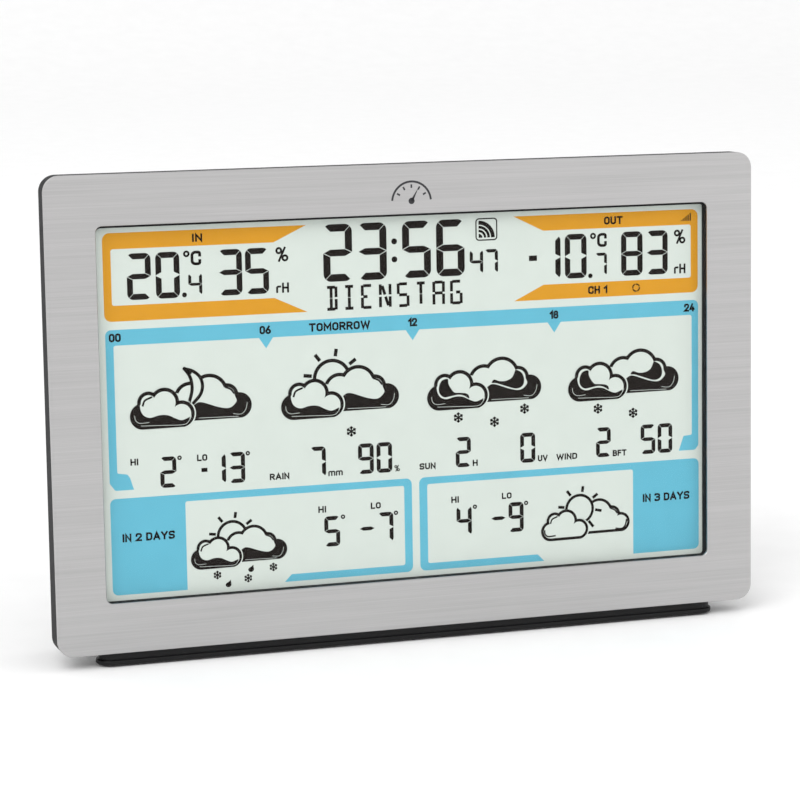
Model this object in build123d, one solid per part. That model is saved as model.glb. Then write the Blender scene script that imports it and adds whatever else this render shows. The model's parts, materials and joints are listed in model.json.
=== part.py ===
from build123d import *
import math
import os

# Desktop weather station: a brushed metal fascia on a shallow dark housing that leans back a
# little, on a black foot rail at the front and a fold-out prop leg behind.
# Everything is drawn upright first: x to the right, y from the fascia's face to the back,
# z up from the fascia's bottom edge. stand_up() then leans it back and sets it on the table.

# ---- driving dimensions (mm, degrees) ----
FACE_WIDTH = 230.0
FACE_HEIGHT = 146.0
FACE_CORNER = 5.0
FASCIA_THICK = 1.0
WINDOW_WIDTH = 199.0
WINDOW_HEIGHT = 115.0
WINDOW_CORNER = 2.0
LEAN = 3.0

BEZEL_WALL = 2.3
BEZEL_FRONT = 3.0
BEZEL_BACK_TOP = 7.5
BEZEL_BACK_BOTTOM = 9.7
LIP_SIDE = 0.2
LIP_TOP = 0.65
LIP_BOTTOM = 0.15

SHELL_WIDTH = 218.0
SHELL_BOTTOM = 6.5
SHELL_TOP = 139.5
SHELL_BACK = 29.0
SHELL_WALL = 2.2
SHELL_REAR_WALL = 2.0
SHELL_CORNER = 5.0
FLANGE_FRONT = 6.0
FLANGE_BACK = 7.5

DISPLAY_FACE = 4.2
GLASS_THICK = 0.7
FILM_THICK = 0.2
GUIDE_THICK = 2.3
HOLDER_BACK = 10.5
BOARD_THICK = 1.6

RAIL_WIDTH = 204.8
RAIL_DEPTH = 9.0
RAIL_SETBACK = 0.4
RAIL_DROP = 4.1
RAIL_FOOT_HEIGHT = 1.8
RAIL_NECK_INSET = 0.8
STRIP_PROUD = 0.4
STRIP_WIDTH = 186.0
STRIP_DEPTH = 4.4

HINGE_Y = 26.2
HINGE_Z = 60.0
LEG_OPEN = 18.0
LEG_WIDTH = 60.0
LEG_THICK = 3.5
LEG_HEEL = 5.0
LEG_PAD_RADIUS = 2.2
LEG_PAD_WIDTH = 48.0
PIN_RADIUS = 1.25
RUNNING_FIT = 0.05
RECESS_GAP = 0.5
RECESS_FLOOR = 22.9
RECESS_TOP = 66.3

SCREW_X = 104.2
SHELL_SCREW_Z = (11.4, 73.0, 134.6)
HOLDER_SCREW_Z = (40.0, 106.0)
BOSS_RADIUS = 2.5
BOSS_TOP = 11.0
COLUMN_RADIUS = 3.75
HEAD_SEAT = 14.0

BAY_LEFT = -98.0
BAY_RIGHT = -38.0
BAY_BOTTOM = 12.0
BAY_TOP = 58.0
BAY_FLOOR = 11.7
CELL_RADIUS = 7.25
CELL_LENGTH = 49.5
CELL_PITCH = 15.2
DOOR_TOP = 61.0
DOOR_GAP = 0.3
DOOR_TONGUE = 1.5

BUTTON_Z = 122.0
BUTTON_X = (22.0, 36.0, 50.0, 64.0, 78.0, 92.0)
BUTTON_NAMES = ("mode", "set", "up", "down", "channel", "radio")
BUTTON_LENGTH = 9.0
BUTTON_HEIGHT = 5.6
BUTTON_PROUD = 1.2
BUTTON_TRAVEL = 0.6
BUTTON_INNER_END = 23.0
PLAY = 0.3

SNOOZE_WIDTH = 64.0
SNOOZE_Y = (14.0, 24.0)
SNOOZE_PROUD = 2.0
SNOOZE_TRAVEL = 0.8
SNOOZE_SWITCH_X = 22.0

SLIDER_X = -50.0
SLIDER_TRAVEL = 4.0

KEYHOLE_X = 60.0
KEYHOLE_Z = 96.0
KEYHOLE_RADIUS = 4.0
KEYHOLE_SLOT_RADIUS = 2.0
KEYHOLE_RISE = 8.0

INLET_X = 85.0
INLET_Z = 24.0
INLET_BORE = 3.0
INLET_PIN_RADIUS = 1.05

SENSOR_X = 86.0
SENSOR_Z = 54.0

# ---- derived values ----
MID_Z = FACE_HEIGHT / 2
SHELL_MID_Z = (SHELL_BOTTOM + SHELL_TOP) / 2
SHELL_HEIGHT = SHELL_TOP - SHELL_BOTTOM
REAR_INSIDE = SHELL_BACK - SHELL_REAR_WALL
BEZEL_TAPER = math.degrees(math.asin((BEZEL_BACK_BOTTOM - BEZEL_BACK_TOP) / FACE_HEIGHT))
OPENING_WIDTH = WINDOW_WIDTH - 2 * LIP_SIDE
OPENING_HEIGHT = WINDOW_HEIGHT - LIP_TOP - LIP_BOTTOM
OPENING_Z = MID_Z - (LIP_TOP - LIP_BOTTOM) / 2
FRONT_GLASS_Y = DISPLAY_FACE + FILM_THICK
REAR_GLASS_Y = FRONT_GLASS_Y + GLASS_THICK
REAR_FILM_Y = REAR_GLASS_Y + GLASS_THICK
GUIDE_Y = REAR_FILM_Y + FILM_THICK
REFLECTOR_Y = GUIDE_Y + GUIDE_THICK
HOLDER_WALL_Y = REFLECTOR_Y + FILM_THICK
BOARD_BACK = HOLDER_BACK + BOARD_THICK
CELL_Y = BAY_FLOOR + 0.1 + CELL_RADIUS
BASE_Z = RAIL_DROP + STRIP_PROUD
LEAN_RAD = math.radians(LEAN)
LEG_TILT_RAD = math.radians(LEG_OPEN - LEAN)
HINGE_WORLD_Y = HINGE_Y * math.cos(LEAN_RAD) + HINGE_Z * math.sin(LEAN_RAD)
HINGE_WORLD_Z = BASE_Z + HINGE_Z * math.cos(LEAN_RAD) - HINGE_Y * math.sin(LEAN_RAD)
LEG_LENGTH = (HINGE_WORLD_Z - LEG_PAD_RADIUS) / math.cos(LEG_TILT_RAD)
TOTAL_DEPTH = HINGE_WORLD_Y + LEG_LENGTH * math.sin(LEG_TILT_RAD) + LEG_PAD_RADIUS
WORLD = Pos(0, -TOTAL_DEPTH / 2, BASE_Z) * Rot(-LEAN, 0, 0)


# ---- helpers ----
def slab(outline, front, back):
    """A flat outline drawn in x and z, made solid from y = front to y = back."""
    return extrude(Plane.XZ.offset(-back) * outline, back - front)


def block(x0, x1, y0, y1, z0, z1):
    """A box between the given limits."""
    centre = Pos((x0 + x1) / 2, (y0 + y1) / 2, (z0 + z1) / 2)
    return centre * Box(x1 - x0, y1 - y0, z1 - z0)


def rod(x, z, radius, front, back):
    """A round bar along y."""
    return slab(Pos(x, z) * Circle(radius), front, back)


def oblong(x, z, length, height):
    """A straight slot outline lying along x."""
    return Pos(x, z) * SlotOverall(length, height)


def panel(width, height, corner, z=MID_Z):
    """A rounded rectangle outline centred across the face at height z."""
    return Pos(0, z) * RectangleRounded(width, height, corner)


def joined(shapes):
    """Fuse a list of shapes into one."""
    whole = shapes[0]
    for shape in shapes[1:]:
        whole = whole + shape
    return whole


def cut(shape, tools):
    """Take each tool away from the shape."""
    for tool in tools:
        shape = shape - tool
    return shape


def stand_up(shape):
    """Lean an upright shape back and set it at its place over the table."""
    return WORLD * shape


def save(name, shapes):
    """Write one node. A list becomes separate solids in one node."""
    if not isinstance(shapes, (list, tuple)):
        shapes = [shapes]
    solids = [solid for shape in shapes for solid in shape.solids()]
    whole = solids[0] if len(solids) == 1 else Compound(children=solids)
    whole.label = name
    export_step(whole, f"parts/{name}.step")


def screw(x, z, seat, head_radius, head_height, shank_radius, tip):
    """A pan head screw along y: the head stands behind y = seat, the tip is at y = tip."""
    head = rod(x, z, head_radius, seat, seat + head_height)
    head = fillet(head.edges().sort_by(Axis.Y)[-1], head_height * 0.4)
    slot = block(x - head_radius, x + head_radius, seat + head_height - 0.6, seat + head_height + 1,
                 z - 0.3, z + 0.3)
    cross = Pos(x, 0, z) * Rot(0, 90, 0) * Pos(-x, 0, -z) * slot
    return rod(x, z, shank_radius, tip, seat) + (head - slot - cross)


# ---- front ----
def fascia_plate():
    """The brushed aluminium face with its rectangular window."""
    outline = panel(FACE_WIDTH, FACE_HEIGHT, FACE_CORNER)
    window = panel(WINDOW_WIDTH, WINDOW_HEIGHT, WINDOW_CORNER)
    plate = slab(outline - window, 0, FASCIA_THICK)
    front_edges = plate.edges().filter_by(lambda edge: edge.center().Y < 0.01)
    return chamfer(front_edges, 0.15)


def bezel_boss(x, z, top):
    """A screw boss that stands on the inside of the bezel's front wall."""
    bore = 1.2 if top == BOSS_TOP else 1.0
    return rod(x, z, BOSS_RADIUS, BEZEL_FRONT, top) - rod(x, z, bore, BEZEL_FRONT + 0.6, top)


def rail_screw_places():
    """x of each screw that holds the foot rail."""
    return (-70.0, 0.0, 70.0)


def front_bezel():
    """The dark moulded tray behind the fascia. Its skirt is deeper at the bottom."""
    outer = panel(FACE_WIDTH, FACE_HEIGHT, FACE_CORNER)
    behind = Pos(0, BEZEL_BACK_BOTTOM, 0) * Rot(BEZEL_TAPER, 0, 0) * block(-120, 120, 0, 9, -5, 150)
    tray = slab(outer, FASCIA_THICK, BEZEL_BACK_BOTTOM + 1) - behind
    tray = fillet(tray.faces().sort_by(Axis.Y)[-1].edges(), 0.6)
    hollow = panel(FACE_WIDTH - 2 * BEZEL_WALL, FACE_HEIGHT - 2 * BEZEL_WALL, 2.5)
    opening = panel(OPENING_WIDTH, OPENING_HEIGHT, WINDOW_CORNER - 0.5, OPENING_Z)
    tray = tray - slab(hollow, BEZEL_FRONT, BEZEL_BACK_BOTTOM + 1) - slab(opening, 0, BEZEL_FRONT)
    bosses = [bezel_boss(side * SCREW_X, z, BOSS_TOP) for side in (-1, 1) for z in SHELL_SCREW_Z]
    bosses += [bezel_boss(side * SCREW_X, z, 8.0) for side in (-1, 1) for z in HOLDER_SCREW_Z]
    blocks = [block(x - 3, x + 3, BEZEL_FRONT, FLANGE_FRONT - 0.1, 1.0, 9.5)
              for x in rail_screw_places()]
    tray = joined([tray] + bosses + blocks)
    holes = [Pos(x, 4.2, 0) * Cylinder(0.9, 18) for x in rail_screw_places()]
    return cut(tray, holes)


def display_window():
    """The clear acrylic pane behind the bezel's opening."""
    return slab(panel(203.0, 119.0, 1.0), BEZEL_FRONT, DISPLAY_FACE - FILM_THICK)


def display_gasket():
    """A thin foam frame between the pane and the display."""
    ring = panel(203.0, 119.0, 1.0) - panel(199.0, 115.0, 1.0)
    return slab(ring, DISPLAY_FACE - FILM_THICK, DISPLAY_FACE)


# ---- display stack ----
GLASS_WIDTH = 200.0
GLASS_BOTTOM = 14.5
GLASS_TOP = 131.5
LEDGE_TOP = 135.5


def sheet(width, bottom, top, front, thick):
    """A rectangular sheet centred in x."""
    return block(-width / 2, width / 2, front, front + thick, bottom, top)


def lcd_holder():
    """The white tray that holds the display stack and carries the circuit board."""
    tray = sheet(GLASS_WIDTH + 2.8, GLASS_BOTTOM - 1.4, LEDGE_TOP + 1.4, DISPLAY_FACE,
                 HOLDER_BACK - DISPLAY_FACE)
    pocket = sheet(GLASS_WIDTH + 0.2, GLASS_BOTTOM - 0.1, GLASS_TOP + 0.1, DISPLAY_FACE,
                   HOLDER_WALL_Y - DISPLAY_FACE)
    ledge = sheet(GLASS_WIDTH + 0.2, GLASS_TOP, LEDGE_TOP + 0.1, DISPLAY_FACE,
                  REAR_GLASS_Y - DISPLAY_FACE)
    tray = tray - pocket - ledge
    tray = tray - block(-96, -4, 4, 11, 131.8, 135.2) - block(4, 96, 4, 11, 131.8, 135.2)
    ears = []
    for side in (-1, 1):
        for z in HOLDER_SCREW_Z:
            arm = block(min(side * 100.5, side * SCREW_X), max(side * 100.5, side * SCREW_X),
                        8.0, HOLDER_BACK, z - BOSS_RADIUS, z + BOSS_RADIUS)
            ears.append(arm + rod(side * SCREW_X, z, BOSS_RADIUS, 8.0, HOLDER_BACK))
    tray = joined([tray] + ears)
    holes = [rod(side * SCREW_X, z, 1.2, 7, 12) for side in (-1, 1) for z in HOLDER_SCREW_Z]
    holes += [rod(x, z, 0.9, HOLDER_WALL_Y + 0.4, 12) for x, z in BOARD_SCREWS]
    return cut(tray, holes)


def save_display():
    """Write the display's layers from front to back."""
    width, bottom, top = GLASS_WIDTH, GLASS_BOTTOM, GLASS_TOP
    save("lcd_front_polariser", stand_up(sheet(width - 1, bottom + 0.5, top, DISPLAY_FACE,
                                               FILM_THICK)))
    save("lcd_front_glass", stand_up(sheet(width, bottom, LEDGE_TOP, FRONT_GLASS_Y, GLASS_THICK)))
    save("lcd_rear_glass", stand_up(sheet(width, bottom, top, REAR_GLASS_Y, GLASS_THICK)))
    save("lcd_rear_polariser", stand_up(sheet(width - 1, bottom + 0.5, top, REAR_FILM_Y,
                                              FILM_THICK)))
    guide = sheet(width - 1, bottom + 3.5, top - 0.5, GUIDE_Y, GUIDE_THICK)
    save("light_guide", stand_up(guide))
    save("light_reflector", stand_up(sheet(width - 1, bottom + 3.5, top - 0.5, REFLECTOR_Y,
                                           FILM_THICK)))
    strip = sheet(width - 20, bottom + 0.2, bottom + 1.0, GUIDE_Y, GUIDE_THICK)
    save("backlight_strip", stand_up(strip))
    leds = [block(x - 1.5, x + 1.5, GUIDE_Y + 0.3, GUIDE_Y + 2.0, bottom + 1.0, bottom + 3.3)
            for x in range(-80, 81, 20)]
    save("backlight_leds", [stand_up(led) for led in leds])
    zebras = [block(x0, x0 + 91, REAR_GLASS_Y, HOLDER_BACK, 132.2, 134.8) for x0 in (-95.5, 4.5)]
    save("zebra_strips", [stand_up(zebra) for zebra in zebras])
    save("lcd_holder", stand_up(lcd_holder()))


# ---- circuit board ----
BOARD_SCREWS = ((-90.0, 126.0), (0.0, 118.0), (96.0, 112.0), (-90.0, 72.0), (96.0, 72.0), (70.0, 18.0))


def main_board():
    """The board behind the display, with its corner cut away for the battery bay."""
    board = block(-100, 100, HOLDER_BACK, BOARD_BACK, 12.0, 136.5)
    board = board - block(-101, BAY_RIGHT + 3, 10, 13, 11, BAY_TOP + 4)
    return cut(board, [rod(x, z, 1.2, 10, 13) for x, z in BOARD_SCREWS])


def on_board(x, z, width, height, tall):
    """A rectangular component on the back of the board, centred at x and z."""
    return block(x - width / 2, x + width / 2, BOARD_BACK, BOARD_BACK + tall,
                 z - height / 2, z + height / 2)


def blob(x, z, radius, tall):
    """A low domed drop of black resin over a bare chip."""
    drop = rod(x, z, radius, BOARD_BACK, BOARD_BACK + tall)
    return fillet(drop.edges().sort_by(Axis.Y)[-1], tall * 0.9)


def capacitor(x, z, radius, tall):
    """A round can standing on the board."""
    can = rod(x, z, radius, BOARD_BACK, BOARD_BACK + tall)
    return fillet(can.edges().sort_by(Axis.Y)[-1], 0.5)


def leaded_wire(points, radius, bend):
    """A round wire along straight runs joined by arcs."""
    path = FilletPolyline(*points, radius=bend)
    start = Plane(origin=path @ 0, z_dir=path % 0)
    return sweep(start * Circle(radius), path=path)


def button_switch(x):
    """A tall push switch under a button on the back."""
    body = on_board(x, BUTTON_Z, 6, 6, 3.5)
    plunger = rod(x, BUTTON_Z, 1.7, BOARD_BACK + 3.5, BUTTON_INNER_END - BUTTON_TRAVEL - 0.05)
    return body + plunger


def snooze_switch(x):
    """A side-acting push switch under the snooze bar, plunger upwards."""
    body = on_board(x, 128, 6, 6, 6)
    y = sum(SNOOZE_Y) / 2 - 3.5
    plunger = Pos(x, y, 131 + 1.0) * Cylinder(1.5, 2.0)
    return body + plunger


def dc_inlet_body():
    """The round-nosed socket for a low voltage plug."""
    body = on_board(INLET_X, INLET_Z, 9.6, 9.6, 13.2)
    nose = rod(INLET_X, INLET_Z, 4.8, BOARD_BACK + 13.2, SHELL_BACK - 0.6)
    return body + nose - rod(INLET_X, INLET_Z, INLET_BORE, 18.5, SHELL_BACK)


def dc_inlet_pin():
    """The round centre contact inside the socket."""
    pin = rod(INLET_X, INLET_Z, INLET_PIN_RADIUS, 18.5, SHELL_BACK - 1.6)
    return chamfer(pin.edges().sort_by(Axis.Y)[-1], 0.3)


def save_electronics():
    """Write the board and what is soldered or screwed to it."""
    save("main_board", stand_up(main_board()))
    board_screws = [screw(x, z, BOARD_BACK, 2.2, 1.4, 0.9, HOLDER_WALL_Y + 0.4)
                    for x, z in BOARD_SCREWS]
    save("board_screws", [stand_up(each) for each in board_screws])
    save("display_driver", stand_up(blob(-40, 108, 9, 1.8)))
    save("microcontroller", stand_up(on_board(12, 92, 12, 12, 1.4)))
    wifi = on_board(-66, 92, 18, 25, 0.8) + on_board(-66, 89, 15, 16, 3.0)
    save("wifi_module", stand_up(wifi))
    save("radio_receiver", stand_up(on_board(-14, 100, 14, 18, 2.2)))
    y = BOARD_BACK
    antenna = leaded_wire([(-14, y, 112), (-14, y + 6, 112), (-60, y + 6, 112)], 0.4, 2.0)
    save("radio_antenna", stand_up(antenna))
    save("timing_crystal", stand_up(on_board(28, 92, 11, 4.5, 3.5)))
    cans = [capacitor(50, 60, 4, 7.5), capacitor(62, 60, 4, 7.5), capacitor(52, 44, 3, 6)]
    save("capacitors", [stand_up(can) for can in cans])
    save("piezo_sounder", stand_up(capacitor(60, 90, 8, 6) - rod(60, 90, 1, 17, 20)))
    switches = [button_switch(x) for x in BUTTON_X]
    save("button_switches", [stand_up(each) for each in switches])
    snoozes = [snooze_switch(side * SNOOZE_SWITCH_X) for side in (-1, 1)]
    save("snooze_switches", [stand_up(each) for each in snoozes])
    save("slide_switch", stand_up(on_board(SLIDER_X + SLIDER_TRAVEL / 2, BUTTON_Z, 13, 6, 8)))
    save("dc_inlet_body", stand_up(dc_inlet_body()))
    save("dc_inlet_pin", stand_up(dc_inlet_pin()))
    save_sensor()


def save_sensor():
    """Write the room climate sensor on its own small board behind the vents."""
    board = block(SENSOR_X - 8, SENSOR_X + 8, 18, 19, SENSOR_Z - 6, SENSOR_Z + 6)
    save("sensor_board", stand_up(board))
    chip = block(SENSOR_X - 1.5, SENSOR_X + 1.5, 19, 20, SENSOR_Z - 1.5, SENSOR_Z + 1.5)
    save("climate_sensor", stand_up(chip - rod(SENSOR_X, SENSOR_Z, 0.5, 19.5, 21)))
    pins = [block(x - 0.3, x + 0.3, BOARD_BACK, 18, SENSOR_Z - 4.8, SENSOR_Z - 4.2)
            for x in (SENSOR_X - 3.8, SENSOR_X - 1.3, SENSOR_X + 1.3, SENSOR_X + 3.8)]
    save("sensor_header", [stand_up(pin) for pin in pins])


# ---- rear shell ----
def shell_box():
    """The hollow rear housing with its flange, before any detail."""
    outer = panel(SHELL_WIDTH, SHELL_HEIGHT, SHELL_CORNER, SHELL_MID_Z)
    box = slab(outer, FLANGE_FRONT, SHELL_BACK)
    rear_edges = box.edges().filter_by(lambda edge: edge.center().Y > SHELL_BACK - 0.01)
    box = fillet(rear_edges, 1.8)
    flange = panel(FACE_WIDTH - 2 * BEZEL_WALL - 0.4, FACE_HEIGHT - 2 * BEZEL_WALL - 0.4, 2.4)
    box = box + slab(flange, FLANGE_FRONT, FLANGE_BACK)
    inner = panel(SHELL_WIDTH - 2 * SHELL_WALL, SHELL_HEIGHT - 2 * SHELL_WALL,
                  SHELL_CORNER - SHELL_WALL, SHELL_MID_Z)
    return box - slab(inner, FLANGE_FRONT, REAR_INSIDE)


def shell_column(x, z):
    """A screw column from the back down to the bezel's boss."""
    return rod(x, z, COLUMN_RADIUS, BOSS_TOP, REAR_INSIDE + 0.5)


def column_bore(x, z):
    """The stepped hole in a screw column."""
    return [rod(x, z, 2.6, HEAD_SEAT, SHELL_BACK), rod(x, z, 1.4, BOSS_TOP, HEAD_SEAT)]


def leg_recess_walls():
    """The walled bay in the back that takes the folded leg."""
    half = LEG_WIDTH / 2 + RECESS_GAP + SHELL_WALL
    return block(-half, half, RECESS_FLOOR - 2, REAR_INSIDE + 0.5, SHELL_BOTTOM + 0.5,
                 RECESS_TOP + SHELL_WALL)


def leg_recess_space():
    """The space of that bay, open at the back and below."""
    half = LEG_WIDTH / 2 + RECESS_GAP
    return block(-half, half, RECESS_FLOOR, SHELL_BACK + 1, SHELL_BOTTOM - 1, RECESS_TOP)


def battery_bay_walls():
    """The walled bay for the cells, with a thick rim that guides the door."""
    wall = 1.5
    walls = block(BAY_LEFT - wall, BAY_RIGHT + wall, BAY_FLOOR - 1, REAR_INSIDE + 0.5,
                  BAY_BOTTOM - wall, BAY_TOP + wall)
    rim = block(BAY_LEFT - 3.6, BAY_RIGHT + 3.6, 25.0, REAR_INSIDE + 0.5, SHELL_BOTTOM + 1,
                DOOR_TOP + 2.5)
    return walls + rim


def battery_bay_space():
    """The bay's inside, the door's opening and the grooves its tongues run in."""
    bay = block(BAY_LEFT, BAY_RIGHT, BAY_FLOOR, SHELL_BACK, BAY_BOTTOM, BAY_TOP)
    opening = block(BAY_LEFT, BAY_RIGHT, 28.0, SHELL_BACK + 1, SHELL_BOTTOM - 1, DOOR_TOP + DOOR_GAP)
    grooves = block(BAY_LEFT - DOOR_TONGUE - DOOR_GAP, BAY_RIGHT + DOOR_TONGUE + DOOR_GAP,
                    26.5, 28.1, SHELL_BOTTOM - 1, DOOR_TOP + DOOR_GAP)
    return [bay, opening, grooves]


def keyhole(x):
    """A hole for a wall screw's head with a slot above it for the shank."""
    head = rod(x, KEYHOLE_Z, KEYHOLE_RADIUS, REAR_INSIDE - 1, SHELL_BACK + 1)
    slot = block(x - KEYHOLE_SLOT_RADIUS, x + KEYHOLE_SLOT_RADIUS, REAR_INSIDE - 1, SHELL_BACK + 1,
                 KEYHOLE_Z, KEYHOLE_Z + KEYHOLE_RISE)
    top = rod(x, KEYHOLE_Z + KEYHOLE_RISE, KEYHOLE_SLOT_RADIUS, REAR_INSIDE - 1, SHELL_BACK + 1)
    return head + slot + top


def vents():
    """Rows of slots behind the climate sensor and high on the other side."""
    slots = [slab(oblong(SENSOR_X, SENSOR_Z + step * 4.0, 24, 1.8), REAR_INSIDE - 1, SHELL_BACK + 1)
             for step in range(-3, 4)]
    slots += [slab(oblong(-84, 112 + step * 4.0, 24, 1.8), REAR_INSIDE - 1, SHELL_BACK + 1)
              for step in range(-2, 3)]
    return slots


def side_vents():
    """Short slots through the side wall beside the climate sensor."""
    half = SHELL_WIDTH / 2
    return [block(half - 3, half + 1, 16, 24, SENSOR_Z + step * 4.0 - 0.9, SENSOR_Z + step * 4.0 + 0.9)
            for step in range(-3, 4)]


def control_holes():
    """Openings for the buttons, slide knob, snooze bar and inlet."""
    back = (REAR_INSIDE - 1, SHELL_BACK + 1)
    holes = [slab(oblong(x, BUTTON_Z, BUTTON_LENGTH + 2 * PLAY, BUTTON_HEIGHT + 2 * PLAY), *back)
             for x in BUTTON_X]
    knob_slot = oblong(SLIDER_X + SLIDER_TRAVEL / 2, BUTTON_Z, 5 + SLIDER_TRAVEL + 2 * PLAY,
                       4 + 2 * PLAY)
    holes.append(slab(knob_slot, *back))
    snooze_half = SNOOZE_WIDTH / 2 + PLAY
    holes.append(block(-snooze_half, snooze_half, SNOOZE_Y[0] - PLAY, SNOOZE_Y[1] + PLAY,
                       SHELL_TOP - 4, SHELL_TOP + 1))
    holes.append(rod(INLET_X, INLET_Z, 5.2, *back))
    return holes


def rear_shell():
    """The moulded back with its bays, columns, holes and vents."""
    columns = [shell_column(side * SCREW_X, z) for side in (-1, 1) for z in SHELL_SCREW_Z]
    outer = slab(panel(SHELL_WIDTH, SHELL_HEIGHT, SHELL_CORNER, SHELL_MID_Z), FLANGE_FRONT,
                 SHELL_BACK)
    insides = joined(columns + [leg_recess_walls(), battery_bay_walls()]) & outer
    shell = shell_box() + insides
    shell = shell - leg_recess_space()
    shell = cut(shell, battery_bay_space())
    rests = [block(x - 2, x + 2, RECESS_FLOOR - 0.5, HINGE_Y - LEG_THICK / 2 - 0.1, 14, 24)
             for x in (-22, 22)]
    posts = [rod(SENSOR_X + dx, SENSOR_Z + 4, 1.2, 19.0, REAR_INSIDE + 0.5) for dx in (-6, 6)]
    shell = joined([shell] + rests + posts)
    tools = [keyhole(side * KEYHOLE_X) for side in (-1, 1)]
    tools += vents() + side_vents() + control_holes()
    for side in (-1, 1):
        for z in SHELL_SCREW_Z:
            tools += column_bore(side * SCREW_X, z)
    tools.append(hinge_axis_rod(PIN_RADIUS, hinge_pin_length()))
    return cut(shell, tools)


# ---- fold-out leg ----
def hinge_pin_length():
    """The pin spans the recess and both its side walls."""
    return LEG_WIDTH + 2 * RECESS_GAP + 2 * SHELL_WALL


def hinge_axis_rod(radius, length):
    """A round bar along the leg's hinge axis."""
    return Pos(0, HINGE_Y, HINGE_Z) * Rot(0, 90, 0) * Cylinder(radius, length)


def open_leg(shape):
    """Swing a leg part, drawn hanging from the hinge axis at the origin, to its open place."""
    return Pos(0, HINGE_Y, HINGE_Z) * Rot(LEG_OPEN, 0, 0) * shape


def stand_leg():
    """The prop: a plate with a barrel for the pin, a heel above it and a tongue at the tip."""
    half = LEG_WIDTH / 2
    shoulder = -LEG_LENGTH + 4.5
    plate = block(-half, half, -LEG_THICK / 2, LEG_THICK / 2, shoulder, LEG_HEEL)
    lower = plate.edges().filter_by(Axis.Y).sort_by(Axis.Z)[:2]
    plate = fillet(lower, 5.0)
    barrel = Rot(0, 90, 0) * Cylinder(2.6, LEG_WIDTH)
    tongue = block(-LEG_PAD_WIDTH / 2 + 1, LEG_PAD_WIDTH / 2 - 1, -1, 1, -LEG_LENGTH + 0.5,
                   shoulder + 1)
    grip = slab(oblong(0, -LEG_LENGTH + 16, 26, 9), -LEG_THICK / 2, LEG_THICK / 2)
    leg = plate + barrel + tongue - grip
    return leg - Rot(0, 90, 0) * Cylinder(PIN_RADIUS + RUNNING_FIT, LEG_WIDTH + 2)


def stand_leg_pad():
    """A rubber edge with a round underside, pushed on the leg's tongue."""
    half = LEG_PAD_WIDTH / 2
    tip = Pos(0, 0, -LEG_LENGTH) * Rot(0, 90, 0) * Cylinder(LEG_PAD_RADIUS, LEG_PAD_WIDTH)
    upper = block(-half, half, -LEG_PAD_RADIUS, LEG_PAD_RADIUS, -LEG_LENGTH, -LEG_LENGTH + 4.5)
    tongue = block(-half + 1, half - 1, -1, 1, -LEG_LENGTH + 0.5, -LEG_LENGTH + 6)
    return tip + upper - tongue


def save_leg():
    """Write the leg, its rubber edge and the pin it turns on."""
    save("stand_leg", stand_up(open_leg(stand_leg())))
    save("stand_leg_pad", stand_up(open_leg(stand_leg_pad())))
    save("stand_hinge_pin", stand_up(hinge_axis_rod(PIN_RADIUS, hinge_pin_length())))


# ---- foot rail ----
def rail_outline(inset):
    """The rail's plan: a long bar with round ends."""
    return SlotOverall(RAIL_WIDTH - 2 * inset, RAIL_DEPTH - 2 * inset)


def rail_centre_y():
    """Where the middle of the rail lies, over the table."""
    return -TOTAL_DEPTH / 2 + RAIL_SETBACK + RAIL_DEPTH / 2


def foot_rail():
    """The black bar under the front edge, level with the table, with a set-back neck."""
    foot = Pos(0, rail_centre_y(), STRIP_PROUD) * extrude(rail_outline(0), RAIL_FOOT_HEIGHT)
    foot = fillet(foot.edges().group_by(Axis.Z)[0], 0.9)
    foot = fillet(foot.edges().group_by(Axis.Z)[-1], 0.5)
    neck = Pos(0, rail_centre_y(), STRIP_PROUD + 0.8) * extrude(rail_outline(RAIL_NECK_INSET), 6)
    over = stand_up(block(-120, 120, -5, 20, 0, 20))
    rail = foot + (neck - over)
    groove = Pos(0, rail_centre_y(), 0) * Box(STRIP_WIDTH, STRIP_DEPTH, 2.0)
    rail = rail - groove
    holes = []
    for x in rail_screw_places():
        holes.append(stand_up(Pos(x, 4.2, -1.5) * Cylinder(1.1, 4)))
        holes.append(stand_up(Pos(x, 4.2, -3.6) * Cylinder(2.3, 3)))
    return cut(rail, holes)


def foot_strip():
    """The rubber strip, let into the rail and standing on the table."""
    return Pos(0, rail_centre_y(), 0.5) * Box(STRIP_WIDTH, STRIP_DEPTH, 1.0)


def rail_screw(x):
    """A screw up through the rail into the bezel."""
    head = Pos(x, 4.2, -2.1 - 0.5) * Cylinder(2.0, 1.0)
    shank = Pos(x, 4.2, -2.1 + 4.5) * Cylinder(0.9, 9.0)
    return head + shank


def save_foot():
    """Write the rail, its rubber strip and its screws."""
    save("foot_rail", foot_rail())
    save("foot_strip", foot_strip())
    save("rail_screws", [stand_up(rail_screw(x)) for x in rail_screw_places()])


# ---- controls ----
def button(x):
    """A push button with a flange that keeps it in the shell."""
    stem = slab(oblong(x, BUTTON_Z, BUTTON_LENGTH, BUTTON_HEIGHT), 24.4, SHELL_BACK + BUTTON_PROUD)
    stem = fillet(stem.edges().group_by(Axis.Y)[-1], 0.6)
    flange = slab(oblong(x, BUTTON_Z, BUTTON_LENGTH + 2.4, BUTTON_HEIGHT + 2.4), 25.0,
                  REAR_INSIDE - PLAY)
    return stem + flange + rod(x, BUTTON_Z, 2.0, BUTTON_INNER_END, 24.4)


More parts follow.
